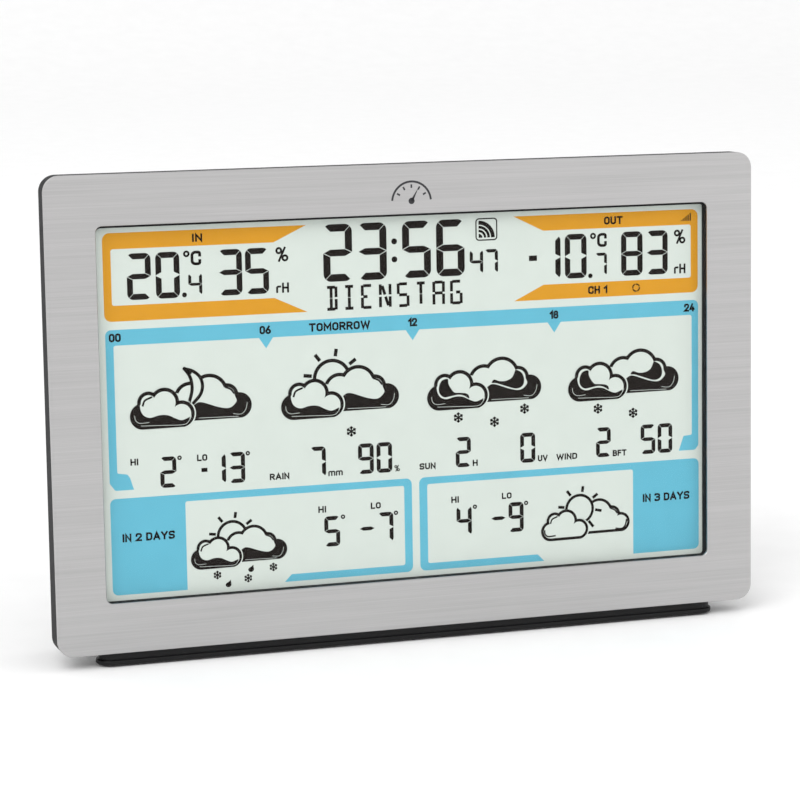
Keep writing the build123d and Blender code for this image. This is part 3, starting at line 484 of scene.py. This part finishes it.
class Picture:
    """One weather picture, as faces sorted into dark and light layers."""

    def __init__(self, x, v, size=1.0):
        self.place = (x, v, size)
        self.dark = {}
        self.light = {}

    def add(self, layers, layer, faces):
        """Move faces to the picture's place and keep them under their layer."""
        x, v, size = self.place
        layers.setdefault(layer, []).extend(moved(face, x, v, size) for face in faces)

    def sun(self, layer=1, rays=4):
        """A sun's circle with some of its rays."""
        x, v, radius = SUN
        self.add(self.dark, layer, disc(x, v, radius + LINE / 2, 40))
        self.add(self.light, layer + 1, disc(x, v, radius - LINE / 2, 40))
        for start, end in SUN_RAYS[:rays]:
            self.add(self.dark, layer, ribbon([start, end], LINE, square=False))

    def moon(self):
        """A crescent between the two clouds."""
        outer, inner = smooth(MOON_OUTER), smooth(MOON_INNER)
        self.add(self.light, 5, [outer + inner[::-1][:-1]])
        self.add(self.dark, 6, ribbon(outer, LINE * 0.9) + ribbon(inner, LINE * 0.9))
        self.add(self.dark, 6, [[(17.0, 18.1), (19.7, 17.2), (19.6, 16.2), (18.2, 16.2)]])

    def rear_cloud(self, belly=True, shade=False):
        """The cloud behind."""
        self.add(self.dark, 3, [rear_outline()])
        if not belly:
            self.add(self.light, 4, [rear_outline(LINE)])
            for points in (REAR_LIGHT, REAR_GLINT):
                self.add(self.dark, 5, ribbon(smooth(points), HIGHLIGHT))
            return
        self.add(self.light, 5, [[(13.2, 7.0), (16.4, 7.0), (16.4, 10.1), (13.6, 10.9)]])
        line = lobe_line(REAR_LOBES[:3], LINE, 180, -15)
        self.add(self.light, 4, [line + smooth(REAR_BELLY) + [(18.0, 7.0), (15.5, 8.6)]])
        for points in (REAR_GLINT, REAR_UNDERLINE):
            self.add(self.light, 4, ribbon(smooth(points), HAIRLINE))
        if shade:
            self.add(self.dark, 5, [smooth(REAR_SHADE, closed=True, steps=4)])
        else:
            self.add(self.dark, 5, ribbon(smooth(REAR_LIGHT), HIGHLIGHT))

    def front_cloud(self, belly=True, shade=False):
        """The cloud in front, with a light edge towards the one behind."""
        x, v, radius = FRONT_LOBES[-1]
        self.add(self.light, 6, ribbon(arc((x, v), radius, -80, 75), 0.8))
        self.add(self.dark, 7, [front_outline()])
        if not belly:
            self.add(self.light, 8, [front_outline(LINE)])
            for points in (FRONT_LIGHT, FRONT_GLINT):
                self.add(self.dark, 9, ribbon(smooth(points), HIGHLIGHT))
            return
        line = lobe_line(FRONT_LOBES[1:], LINE, 185, -50)
        self.add(self.light, 8, [line + smooth(FRONT_BELLY)])
        for points in (FRONT_GLINT, FRONT_UNDERLINE):
            self.add(self.light, 8, ribbon(smooth(points), HAIRLINE))
        if shade:
            self.add(self.dark, 9, [smooth(FRONT_SHADE, closed=True, steps=4)])
        else:
            self.add(self.dark, 9, ribbon(smooth(FRONT_LIGHT), HIGHLIGHT))


def snowflake(x, v, radius):
    """A six-armed flake."""
    faces = []
    width = radius * 0.27
    for arm in range(6):
        angle = math.radians(90 + 60 * arm)
        way = Vector((math.cos(angle), math.sin(angle)))
        faces += ribbon([(x, v), tuple(Vector((x, v)) + way * radius)], width, square=False)
        fork = Vector((x, v)) + way * radius * 0.5
        for turn in (-40, 40):
            side = way.copy()
            side.rotate(Matrix.Rotation(math.radians(turn), 2))
            faces += ribbon([tuple(fork), tuple(fork + side * radius * 0.42)], width, square=False)
    return faces


def raindrop(x, v, size):
    """A drop leaning to the right."""
    points = [(0.75, 1.15), (0.3, 0.75), (-0.75, 0.1), (-0.85, -0.6), (-0.2, -1.1), (0.6, -0.9),
              (0.95, -0.3), (0.85, 0.5)]
    return [moved(smooth(points, closed=True, steps=4), x, v, size)]


# ---- small signs ----
def wave_sign():
    """A reception sign: quarter rings in a rounded frame."""
    left, right, low, high = 22.4, 29.3, 121.2, 127.9
    faces = ribbon(rounded(rectangle(left, right, low, high), 1.0), 0.4, closed=True)
    corner = (left + 0.85, low + 0.75)
    faces.append([corner] + arc(corner, 1.25, 0, 90, 8))
    for radius, width in ((2.15, 0.75), (3.35, 0.85), (4.75, 1.25)):
        faces += ribbon(arc(corner, radius, 0, 90, 12), width, square=False)
    return faces


def strength_bars():
    """A row of rising bars."""
    faces = []
    for i in range(5):
        x = 92.2 + i * 0.75
        faces.append(rectangle(x, x + 0.45, 124.5, 124.9 + 0.52 * i))
    return faces


def loop_sign():
    """Arrows that chase each other round a circle."""
    faces = []
    centre, radius = (76.5, 103.8), 1.15
    for i in range(4):
        start = 20 + 90 * i
        faces += ribbon(arc(centre, radius, start, start + 62, 6), 0.42, square=False)
        angle = math.radians(start + 66)
        tip = (centre[0] + radius * math.cos(angle), centre[1] + radius * math.sin(angle))
        faces.append(arc(tip, 0.38, start, start + 240, 2))
    return faces


def gauge_emblem():
    """A plain dial arc with ticks and a pointer, printed on the fascia."""
    centre = (0.0, 134.2)
    faces = ribbon(arc(centre, 6.3, 8, 172, 32), 0.65)
    for angle in range(30, 151, 30):
        tick = [arc(centre, reach, angle, angle, 1)[0] for reach in (4.3, 5.4)]
        faces += ribbon(tick, 0.55, square=False)
    faces += disc(centre[0], centre[1] + 0.3, 1.0, 20)
    faces.append([(centre[0] - 0.35, centre[1] + 0.5), (centre[0] + 0.5, centre[1] + 0.1),
                  arc(centre, 4.9, 62, 62, 1)[0]])
    return faces


# ---- what the display shows ----
def clock_faces():
    """The large clock with its seconds."""
    faces = digits("23", -27.65, 110.35, 9.35, 17.75, 2.3, 11.2)
    faces += digits("56", -2.0, 110.35, 9.35, 17.75, 2.3, 11.15)
    faces += disc(-4.6, 122.0, 0.93) + disc(-4.6, 116.4, 0.93)
    faces += digits("47", 20.2, 110.6, 4.45, 7.65, 1.05, 4.95)
    return faces + starburst("DIENSTAG", -27.45, 101.35, 4.2, 7.8, 1.02, 5.85)


def reading_faces():
    """The indoor and outdoor temperature and humidity."""
    faces = digits("20", -89.5, 107.7, 7.45, 14.1, 1.8, 8.9)
    faces += disc(-71.8, 108.5, 0.75) + digits("4", -70.5, 108.2, 4.3, 6.8, 0.95, 0)
    faces += digits("35", -61.0, 107.7, 7.45, 14.1, 1.8, 8.45)
    faces += digits("10", 43.3, 107.75, 7.4, 14.1, 1.8, 8.85)
    faces.append(rectangle(40.0, 42.7, 113.9, 115.6))
    faces += disc(60.8, 108.3, 0.75) + digits("7", 62.5, 108.2, 4.0, 7.3, 0.95, 0)
    faces += digits("83", 71.4, 107.75, 7.4, 14.1, 1.8, 8.7)
    for degree, letter, humid in ((-70.9, (-69.6, -66.3), (-42.9, -38.8)),
                                  (61.8, (63.2, 66.5), (89.7, 93.7))):
        faces += ring(degree, 120.95, 0.7, 0.62, 20)
        faces += label("C", *letter, 117.35, 121.8, 0.2)
        faces += percent(*humid, 117.3, 121.8, 0.145)
        faces += label("rH", *humid, 107.7, 110.8, 0.2)
    return faces


def forecast_faces():
    """The numbers under the hourly pictures and in the two day boxes."""
    size = {"width": 5.1, "height": 9.6, "stroke": 1.3}
    faces = digits("2", -80.9, 49.6, pitch=0, **size)
    faces.append(rectangle(-67.95, -66.05, 53.7, 54.95))
    faces += digits("13", -65.3, 49.6, pitch=6.1, **size)
    faces += digits("7", -33.2, 49.6, pitch=0, **size) + digits("90", -17.6, 49.6, pitch=6.05, **size)
    faces += digits("2", 14.65, 49.6, pitch=0, **size) + digits("0", 36.4, 49.6, pitch=0, **size)
    faces += digits("2", 62.35, 49.7, pitch=0, **size) + digits("50", 77.85, 49.7, pitch=5.95, **size)
    faces += digits("5", -29.05, 27.4, pitch=0, **size) + digits("-7", -17.6, 27.4, pitch=6.1, **size)
    faces += digits("4", 14.65, 27.5, pitch=0, **size) + digits("-9", 26.2, 27.5, pitch=6.0, **size)
    for x, v in ((-74.75, 58.6), (-53.15, 58.6), (-22.9, 36.55), (-5.5, 36.55), (20.85, 36.6),
                 (38.2, 36.6)):
        faces += ring(x, v, 0.48, 0.45, 18)
    return faces


def label_faces():
    """Every printed word, unit and hour, with its left, right, bottom and top."""
    small = (57.15, 59.2)
    unit = (49.7, 51.7)
    words = (
        ("IN", -69.0, -65.8, 124.5, 127.0), ("OUT", 65.6, 72.0, 124.4, 126.95),
        ("CH 1", 60.0, 66.6, 102.5, 105.0), ("00", -95.6, -91.9, 95.2, 97.8),
        ("06", -48.5, -44.85, 95.2, 97.8), ("TOMORROW", -32.7, -12.9, 95.2, 97.8),
        ("12", -0.5, 2.5, 95.2, 97.8), ("18", 46.8, 49.8, 95.2, 97.8), ("24", 93.2, 96.9, 95.2, 97.8),
        ("HI", -90.1, -87.65, *small), ("LO", -69.25, -66.0, *small), ("RAIN", -46.3, -40.0, *unit),
        ("mm", -27.4, -22.7, 49.7, 51.6), ("SUN", 2.55, 7.9, *unit), ("H", 20.3, 22.0, *unit),
        ("UV", 42.35, 45.7, *unit), ("WIND", 48.7, 55.8, *unit), ("BFT", 68.1, 72.9, *unit),
        ("HI", -30.9, -28.35, 38.3, 40.35), ("LO", -13.75, -10.45, 38.3, 40.35),
        ("HI", 12.95, 15.5, 38.3, 40.35), ("LO", 30.0, 33.3, 38.4, 40.4),
        ("IN 2 DAYS", -93.25, -76.85, 33.65, 36.2), ("IN 3 DAYS", 78.5, 94.9, 34.0, 36.6),
    )
    faces = []
    for word in words:
        faces += label(*word)
    return faces + percent(-5.75, -3.95, 49.7, 51.7)


def pictures():
    """The four hourly pictures and the two daily ones."""
    night = Picture(-89.85, 68.0)
    night.rear_cloud()
    night.moon()
    night.front_cloud()
    morning = Picture(-42.2, 68.05)
    morning.sun()
    morning.rear_cloud()
    morning.front_cloud()
    noon, evening = Picture(5.4, 68.1), Picture(52.85, 68.15)
    for picture in (noon, evening):
        picture.rear_cloud(shade=True)
        picture.front_cloud(shade=True)
    second_day = Picture(-72.05, 23.3, 0.804)
    second_day.sun()
    second_day.rear_cloud()
    second_day.front_cloud()
    third_day = Picture(43.2, 23.55, 0.8)
    third_day.rear_cloud(belly=False)
    third_day.sun(layer=5, rays=6)
    third_day.front_cloud(belly=False)
    return [night, morning, noon, evening, second_day, third_day]


def precipitation():
    """Flakes and drops under the pictures."""
    faces = []
    for x, v in ((-19.65, 63.3), (15.7, 65.5), (27.8, 63.4), (38.0, 67.0), (63.1, 65.5), (75.25, 63.4)):
        faces += snowflake(x, v, 1.65)
    for x, v in ((-63.75, 21.2), (-45.8, 22.35), (-53.95, 19.45)):
        faces += snowflake(x, v, 1.35)
    for x, v in ((-53.0, 22.4), (-60.3, 18.2)):
        faces += raindrop(x, v, 0.98)
    return faces


def build_display(ink, glow, orange, blue):
    """Make every layer of the display."""
    print_layer("print_orange", reading_frame(-1) + reading_frame(1), 0, orange)
    print_layer("print_blue", tomorrow_frame() + day_frame(-1) + day_frame(1), 0, blue)
    print_layer("lcd_clock", clock_faces(), 1, ink)
    print_layer("lcd_readings", reading_faces(), 1, ink)
    print_layer("lcd_forecast", forecast_faces(), 1, ink)
    print_layer("lcd_labels", label_faces(), 1, ink)
    print_layer("lcd_signs", wave_sign() + strength_bars() + loop_sign(), 1, ink)
    print_layer("lcd_precipitation", precipitation(), 1, ink)
    dark, light = {}, {}
    for picture in pictures():
        for layer, faces in picture.dark.items():
            dark.setdefault(layer, []).extend(faces)
        for layer, faces in picture.light.items():
            light.setdefault(layer, []).extend(faces)
    for layer, faces in sorted(dark.items()):
        print_layer(f"lcd_picture_dark_{layer}", faces, layer, ink)
    for layer, faces in sorted(light.items()):
        print_layer(f"lcd_picture_light_{layer}", faces, layer, glow)


# ---- back ----
def build_back(paper, ink):
    """A blank type label, an arrow on the battery door and signs over the buttons."""
    plate = rounded(rectangle(-24, 24, 78, 104), 2.0)
    flat_piece("back_label", [plate], BACK_DEPTH + 0.03, 0.05, paper)
    lines = ribbon(rounded(rectangle(-22.5, 22.5, 79.5, 102.5), 1.2), 0.3, closed=True)
    for v in (96.0, 90.0, 84.0):
        lines += ribbon([(-20, v), (20, v)], 0.3)
    flat_piece("back_label_lines", lines, BACK_DEPTH + 0.05, 0.03, ink)
    signs = ring(22, 129, 1.2, 0.5) + disc(36, 129, 1.2)
    signs += [[(48.4, 128), (51.6, 128), (50, 130.6)], [(62.4, 130.2), (65.6, 130.2), (64, 127.6)]]
    for i in range(3):
        signs.append(rectangle(76.6 + i, 77.2 + i, 127.8, 128.6 + 0.9 * i))
    for radius in (1.0, 2.0, 3.0):
        signs += ribbon(arc((92, 127.8), radius, 45, 135, 8), 0.45)
    flat_piece("button_signs", signs, BACK_DEPTH + 0.03, 0.05, paper)
    arrow = [[(-71, 31), (-68, 27), (-65, 31)], rectangle(-68.6, -67.4, 31, 36)]
    flat_piece("door_arrow", arrow, BACK_DEPTH + 0.03, 0.05, paper, "door")


# ---- materials ----
def linear(red, green, blue):
    """A linear colour from display values of 0 to 255."""
    def one(value):
        value /= 255
        return value / 12.92 if value <= 0.04045 else ((value + 0.055) / 1.055) ** 2.4
    return (one(red), one(green), one(blue), 1.0)


class Surface:
    """A material under construction: its nodes, links and principled shader."""

    def __init__(self, name):
        self.material = bpy.data.materials.new(name)
        self.material.use_nodes = True
        self.nodes = self.material.node_tree.nodes
        self.links = self.material.node_tree.links
        self.shader = self.nodes["Principled BSDF"]

    def node(self, kind, **inputs):
        """Add a node and set its input sockets by name."""
        node = self.nodes.new(kind)
        for name, value in inputs.items():
            node.inputs[name.replace("_", " ")].default_value = value
        return node

    def grain(self, scale, detail=3.0, stretch=(1, 1, 1), turn=0.0):
        """Noise in object space, stretched along the axes."""
        place = self.nodes.new("ShaderNodeTexCoord")
        mapping = self.nodes.new("ShaderNodeMapping")
        mapping.inputs["Scale"].default_value = stretch
        mapping.inputs["Rotation"].default_value = (turn, 0, 0)
        noise = self.node("ShaderNodeTexNoise", Scale=scale, Detail=detail)
        self.links.new(place.outputs["Object"], mapping.inputs["Vector"])
        self.links.new(mapping.outputs["Vector"], noise.inputs["Vector"])
        return noise.outputs["Fac"]

    def colour_between(self, factor, first, second, low=0.3, high=0.7):
        """Blend two colours by a noise value, into the base colour."""
        ramp = self.nodes.new("ShaderNodeValToRGB")
        ramp.color_ramp.elements[0].position = low
        ramp.color_ramp.elements[0].color = first
        ramp.color_ramp.elements[1].position = high
        ramp.color_ramp.elements[1].color = second
        self.links.new(factor, ramp.inputs["Fac"])
        self.links.new(ramp.outputs["Color"], self.shader.inputs["Base Color"])

    def roughness_between(self, factor, low, high):
        """Vary the roughness with a noise value."""
        spread = self.nodes.new("ShaderNodeMapRange")
        spread.inputs["To Min"].default_value = low
        spread.inputs["To Max"].default_value = high
        self.links.new(factor, spread.inputs["Value"])
        self.links.new(spread.outputs["Result"], self.shader.inputs["Roughness"])

    def bump(self, factor, strength, distance):
        """Raise the surface with a noise value."""
        bump = self.nodes.new("ShaderNodeBump")
        bump.inputs["Strength"].default_value = strength
        bump.inputs["Distance"].default_value = distance
        self.links.new(factor, bump.inputs["Height"])
        self.links.new(bump.outputs["Normal"], self.shader.inputs["Normal"])

    def set(self, **inputs):
        """Set sockets of the principled shader."""
        for name, value in inputs.items():
            self.shader.inputs[name.replace("_", " ")].default_value = value


def moulded(name, colour, roughness=0.5, grain=2500, bump=0.15, spread=0.12, specular=0.5):
    """Moulded plastic, rubber or lacquer with a fine texture."""
    surface = Surface(name)
    dark = tuple(channel * (1 - spread) for channel in colour[:3]) + (1,)
    pale = tuple(min(channel * (1 + spread), 1) for channel in colour[:3]) + (1,)
    noise = surface.grain(grain)
    surface.colour_between(surface.grain(60), dark, pale)
    surface.roughness_between(noise, roughness - 0.06, roughness + 0.06)
    surface.bump(noise, bump, 0.0001)
    surface.set(Specular_IOR_Level=specular)
    return surface.material


def metal(name, colour, roughness, stretch=(1, 1, 1), grain=900):
    """Plain or drawn metal."""
    surface = Surface(name)
    dark = tuple(channel * 0.85 for channel in colour[:3]) + (1,)
    noise = surface.grain(grain, stretch=stretch)
    surface.colour_between(noise, dark, colour)
    surface.roughness_between(noise, roughness - 0.07, roughness + 0.07)
    surface.set(Metallic=1.0)
    return surface.material


def brushed_fascia():
    """Aluminium brushed from side to side."""
    surface = Surface("brushed_fascia")
    fine = surface.grain(1.0, 4.0, (26, 5200, 5200), LEAN)
    broad = surface.grain(1.0, 2.0, (14, 900, 900), LEAN)
    mix = surface.nodes.new("ShaderNodeMath")
    mix.operation = "MULTIPLY_ADD"
    mix.inputs[1].default_value = 0.35
    surface.links.new(broad, mix.inputs[0])
    part = surface.nodes.new("ShaderNodeMath")
    part.operation = "MULTIPLY"
    part.inputs[1].default_value = 0.65
    surface.links.new(fine, part.inputs[0])
    surface.links.new(part.outputs[0], mix.inputs[2])
    surface.colour_between(mix.outputs[0], linear(175, 174, 174), linear(187, 186, 186), 0.35, 0.65)
    surface.roughness_between(fine, 0.34, 0.46)
    surface.bump(fine, 0.12, 0.00002)
    surface.set(Metallic=1.0)
    return surface.material


PRINT_BRIGHTNESS = 0.99


def print_ink(name, colour, spread=0.03, backlight=0.0):
    """A flat print seen through the display's front. A backlight above 0 gives part of its brightness as
    a painted glow, which stands in for the display's backlight and evens out the shade in its recess.
    """
    surface = Surface(name)
    # Painted glow: an emission that stands in for the display's backlight and lightens the shade in the
    # display's recess.
    if backlight:
        surface.set(Emission_Color=colour, Emission_Strength=backlight)
        lit = PRINT_BRIGHTNESS - backlight
        colour = tuple(channel * lit for channel in colour[:3]) + (1,)
    dark = tuple(channel * (1 - spread) for channel in colour[:3]) + (1,)
    pale = tuple(min(channel * (1 + spread), 1) for channel in colour[:3]) + (1,)
    surface.colour_between(surface.grain(150), dark, pale)
    surface.roughness_between(surface.grain(3000), 0.42, 0.55)
    surface.set(Specular_IOR_Level=0.08)
    return surface.material


STRAIGHT_GLOSS = 0.004
GRAZING_GLOSS = 0.9


def clear_sheet(name, tint):
    """A clear sheet: it passes light straight through and reflects more the more it is slanted.

    Both of its faces reflect alike, so the display behind it shows from every side.
    """
    surface = Surface(name)
    nodes, links = surface.nodes, surface.links
    through = nodes.new("ShaderNodeBsdfTransparent")
    through.inputs["Color"].default_value = tint
    gloss = nodes.new("ShaderNodeBsdfGlossy")
    haze = nodes.new("ShaderNodeMapRange")
    haze.inputs["To Min"].default_value = 0.03
    haze.inputs["To Max"].default_value = 0.07
    links.new(surface.grain(40), haze.inputs["Value"])
    links.new(haze.outputs["Result"], gloss.inputs["Roughness"])
    facing = nodes.new("ShaderNodeLayerWeight")
    facing.inputs["Blend"].default_value = 0.5
    slant = nodes.new("ShaderNodeMath")
    slant.operation = "POWER"
    slant.inputs[1].default_value = 5
    links.new(facing.outputs["Facing"], slant.inputs[0])
    share = nodes.new("ShaderNodeMapRange")
    share.inputs["To Min"].default_value = STRAIGHT_GLOSS
    share.inputs["To Max"].default_value = GRAZING_GLOSS
    links.new(slant.outputs["Value"], share.inputs["Value"])
    mix = nodes.new("ShaderNodeMixShader")
    links.new(share.outputs["Result"], mix.inputs["Fac"])
    links.new(through.outputs["BSDF"], mix.inputs[1])
    links.new(gloss.outputs["BSDF"], mix.inputs[2])
    links.new(mix.outputs["Shader"], nodes["Material Output"].inputs["Surface"])
    nodes.remove(surface.shader)
    return surface.material


DISPLAY_PALE = linear(211, 218, 213)
# Strength of the display's painted glow. It stands in for the backlight and evens out the shade in the
# recess.
PAINTED_GLOW = 0.2


def cad_materials():
    """One material for each group of CAD nodes."""
    return [
        (brushed_fascia(), ["fascia_plate"]),
        (moulded("case_plastic", linear(28, 28, 30), 0.6, specular=0.12), ["front_bezel"]),
        (moulded("shell_plastic", linear(34, 34, 36), 0.58, 1600, 0.35, specular=0.35),
         ["rear_shell", "battery_door", "stand_leg"]),
        (moulded("foot_plastic", linear(15, 15, 16), 0.38, 3000, 0.05, specular=0.22), ["foot_rail"]),
        (moulded("soft_rubber", linear(22, 22, 22), 0.8, specular=0.2), ["foot_strip", "stand_leg_pad"]),
        (moulded("gasket_foam", linear(60, 60, 62), 0.9, 4000, 0.5), ["display_gasket"]),
        (clear_sheet("clear_acrylic", (0.985, 0.99, 0.985, 1)), ["display_window"]),
        (clear_sheet("guide_acrylic", (0.95, 0.97, 0.96, 1)), ["light_guide"]),
        (clear_sheet("thin_glass", (0.9, 0.95, 0.92, 1)), ["lcd_front_glass", "lcd_rear_glass"]),
        # The display film carries the painted glow.
        (print_ink("display_film", DISPLAY_PALE, 0.015, PAINTED_GLOW),
         ["lcd_front_polariser", "lcd_rear_polariser"]),
        (moulded("white_plastic", linear(226, 226, 220), 0.5), ["lcd_holder", "light_reflector"]),
        (moulded("contact_rubber", linear(150, 120, 105), 0.7), ["zebra_strips"]),
        (moulded("solder_mask", linear(22, 92, 58), 0.4, 900, 0.1, 0.25),
         ["main_board", "backlight_strip", "sensor_board"]),
        (moulded("chip_resin", linear(30, 30, 31), 0.6),
         ["display_driver", "microcontroller", "slide_switch", "button_switches", "snooze_switches",
          "dc_inlet_body", "piezo_sounder"]),
        (moulded("led_body", linear(235, 228, 180), 0.4), ["backlight_leds", "climate_sensor"]),
        (metal("shield_tin", linear(200, 200, 198), 0.35),
         ["wifi_module", "radio_receiver", "timing_crystal"]),
        (moulded("can_sleeve", linear(40, 48, 90), 0.25), ["capacitors"]),
        (moulded("wire_cover", linear(180, 40, 34), 0.45), ["battery_leads"]),
        (metal("copper_wire", linear(200, 130, 90), 0.3), ["radio_antenna"]),
        (metal("plated_steel", linear(190, 190, 186), 0.3),
         ["shell_screws", "holder_screws", "board_screws", "rail_screws", "stand_hinge_pin",
          "battery_plates", "battery_springs", "dc_inlet_pin", "sensor_header"]),
        (moulded("cell_jacket", linear(44, 84, 120), 0.3), ["battery_cells"]),
        (moulded("key_plastic", linear(58, 58, 61), 0.42, 2200, 0.12),
         ["button_mode", "button_set", "button_up", "button_down", "button_channel", "button_radio",
          "snooze_bar", "slide_knob"]),
    ]


def dress_cad_nodes():
    """Give every CAD node its material."""
    for material, names in cad_materials():
        for name in names:
            mesh = frame["nodes"][name].data
            mesh.materials.clear()
            mesh.materials.append(material)


# ---- stage ----
VIEW_YAW = 18.18
VIEW_PITCH = 10.83
VIEW_DISTANCE = 0.8765
VIEW_LENS = 127.3
AIM = (-6.07, 0.0, 73.37)


def add_floor():
    """A pale floor that curves up into a backdrop."""
    width, front, bend, back, top = 6.0, -4.0, 2.0, 3.0, 4.0
    profile = [(front, 0.0), (bend, 0.0)]
    profile += [(bend + (back - bend) * math.sin(angle), (back - bend) * (1 - math.cos(angle)))
                for angle in (math.radians(10 * i) for i in range(1, 10))]
    profile.append((back, top))
    mesh = bpy.data.meshes.new("floor")
    corners = [(side * width, y, z) for y, z in profile for side in (-1, 1)]
    faces = [(2 * i, 2 * i + 1, 2 * i + 3, 2 * i + 2) for i in range(len(profile) - 1)]
    mesh.from_pydata(corners, [], faces)
    for polygon in mesh.polygons:
        polygon.use_smooth = True
    mesh.materials.append(moulded("floor_paper", linear(245, 245, 245), 0.8, 300, 0.02, 0.01))
    floor = bpy.data.objects.new("floor", mesh)
    bpy.context.scene.collection.objects.link(floor)


def add_light(name, place, aim, size, power):
    """A large soft area lamp."""
    data = bpy.data.lights.new(name, "AREA")
    data.shape = "RECTANGLE"
    data.size, data.size_y = size
    data.energy = power
    lamp = bpy.data.objects.new(name, data)
    lamp.location = place
    lamp.rotation_euler = (Vector(aim) - Vector(place)).to_track_quat("-Z", "Y").to_euler()
    bpy.context.scene.collection.objects.link(lamp)


def add_world(strength):
    """An even pale surround."""
    world = bpy.data.worlds.new("surround")
    world.use_nodes = True
    background = world.node_tree.nodes["Background"]
    background.inputs["Color"].default_value = (1, 1, 1, 1)
    background.inputs["Strength"].default_value = strength
    bpy.context.scene.world = world


def add_camera():
    """The camera, to the left of the station and a little above it."""
    low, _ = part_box("fascia_plate")
    aim = Vector((0, low.y, FACE.translation.z)) + Vector(AIM) * MM
    yaw, pitch = math.radians(VIEW_YAW), math.radians(VIEW_PITCH)
    look = Vector((math.sin(yaw) * math.cos(pitch), math.cos(yaw) * math.cos(pitch), -math.sin(pitch)))
    data = bpy.data.cameras.new("camera")
    data.lens = VIEW_LENS
    data.sensor_width = 36.0
    camera = bpy.data.objects.new("camera", data)
    camera.location = aim - look * VIEW_DISTANCE
    camera.rotation_euler = look.to_track_quat("-Z", "Y").to_euler()
    bpy.context.scene.collection.objects.link(camera)
    bpy.context.scene.camera = camera


def build():
    """Make everything."""
    add_camera()
    add_floor()
    add_world(1.0)
    add_light("key", (-1.2, -1.4, 1.8), (0, 0, 0.08), (1.6, 1.6), 24)
    add_light("side", (1.6, -1.6, 0.9), (0, 0, 0.08), (1.6, 1.2), 5)
    dress_cad_nodes()
    ink = print_ink("display_ink", linear(26, 21, 19))
    # The display ground and the coloured prints carry the painted glow.
    glow = print_ink("display_glow", DISPLAY_PALE, 0.015, PAINTED_GLOW)
    orange = print_ink("print_orange", linear(214, 151, 42), 0.03, PAINTED_GLOW)
    blue = print_ink("print_blue", linear(103, 182, 206), 0.03, PAINTED_GLOW)
    build_display(ink, glow, orange, blue)
    flat_piece("fascia_emblem", gauge_emblem(), 0.0, 0.02, print_ink("emblem_ink", linear(60, 60, 62)))
    paper = moulded("label_paper", linear(168, 168, 166), 0.6, specular=0.3)
    build_back(paper, print_ink("label_ink", linear(60, 60, 62)))
    bpy.context.scene.view_settings.view_transform = "Standard"


build()
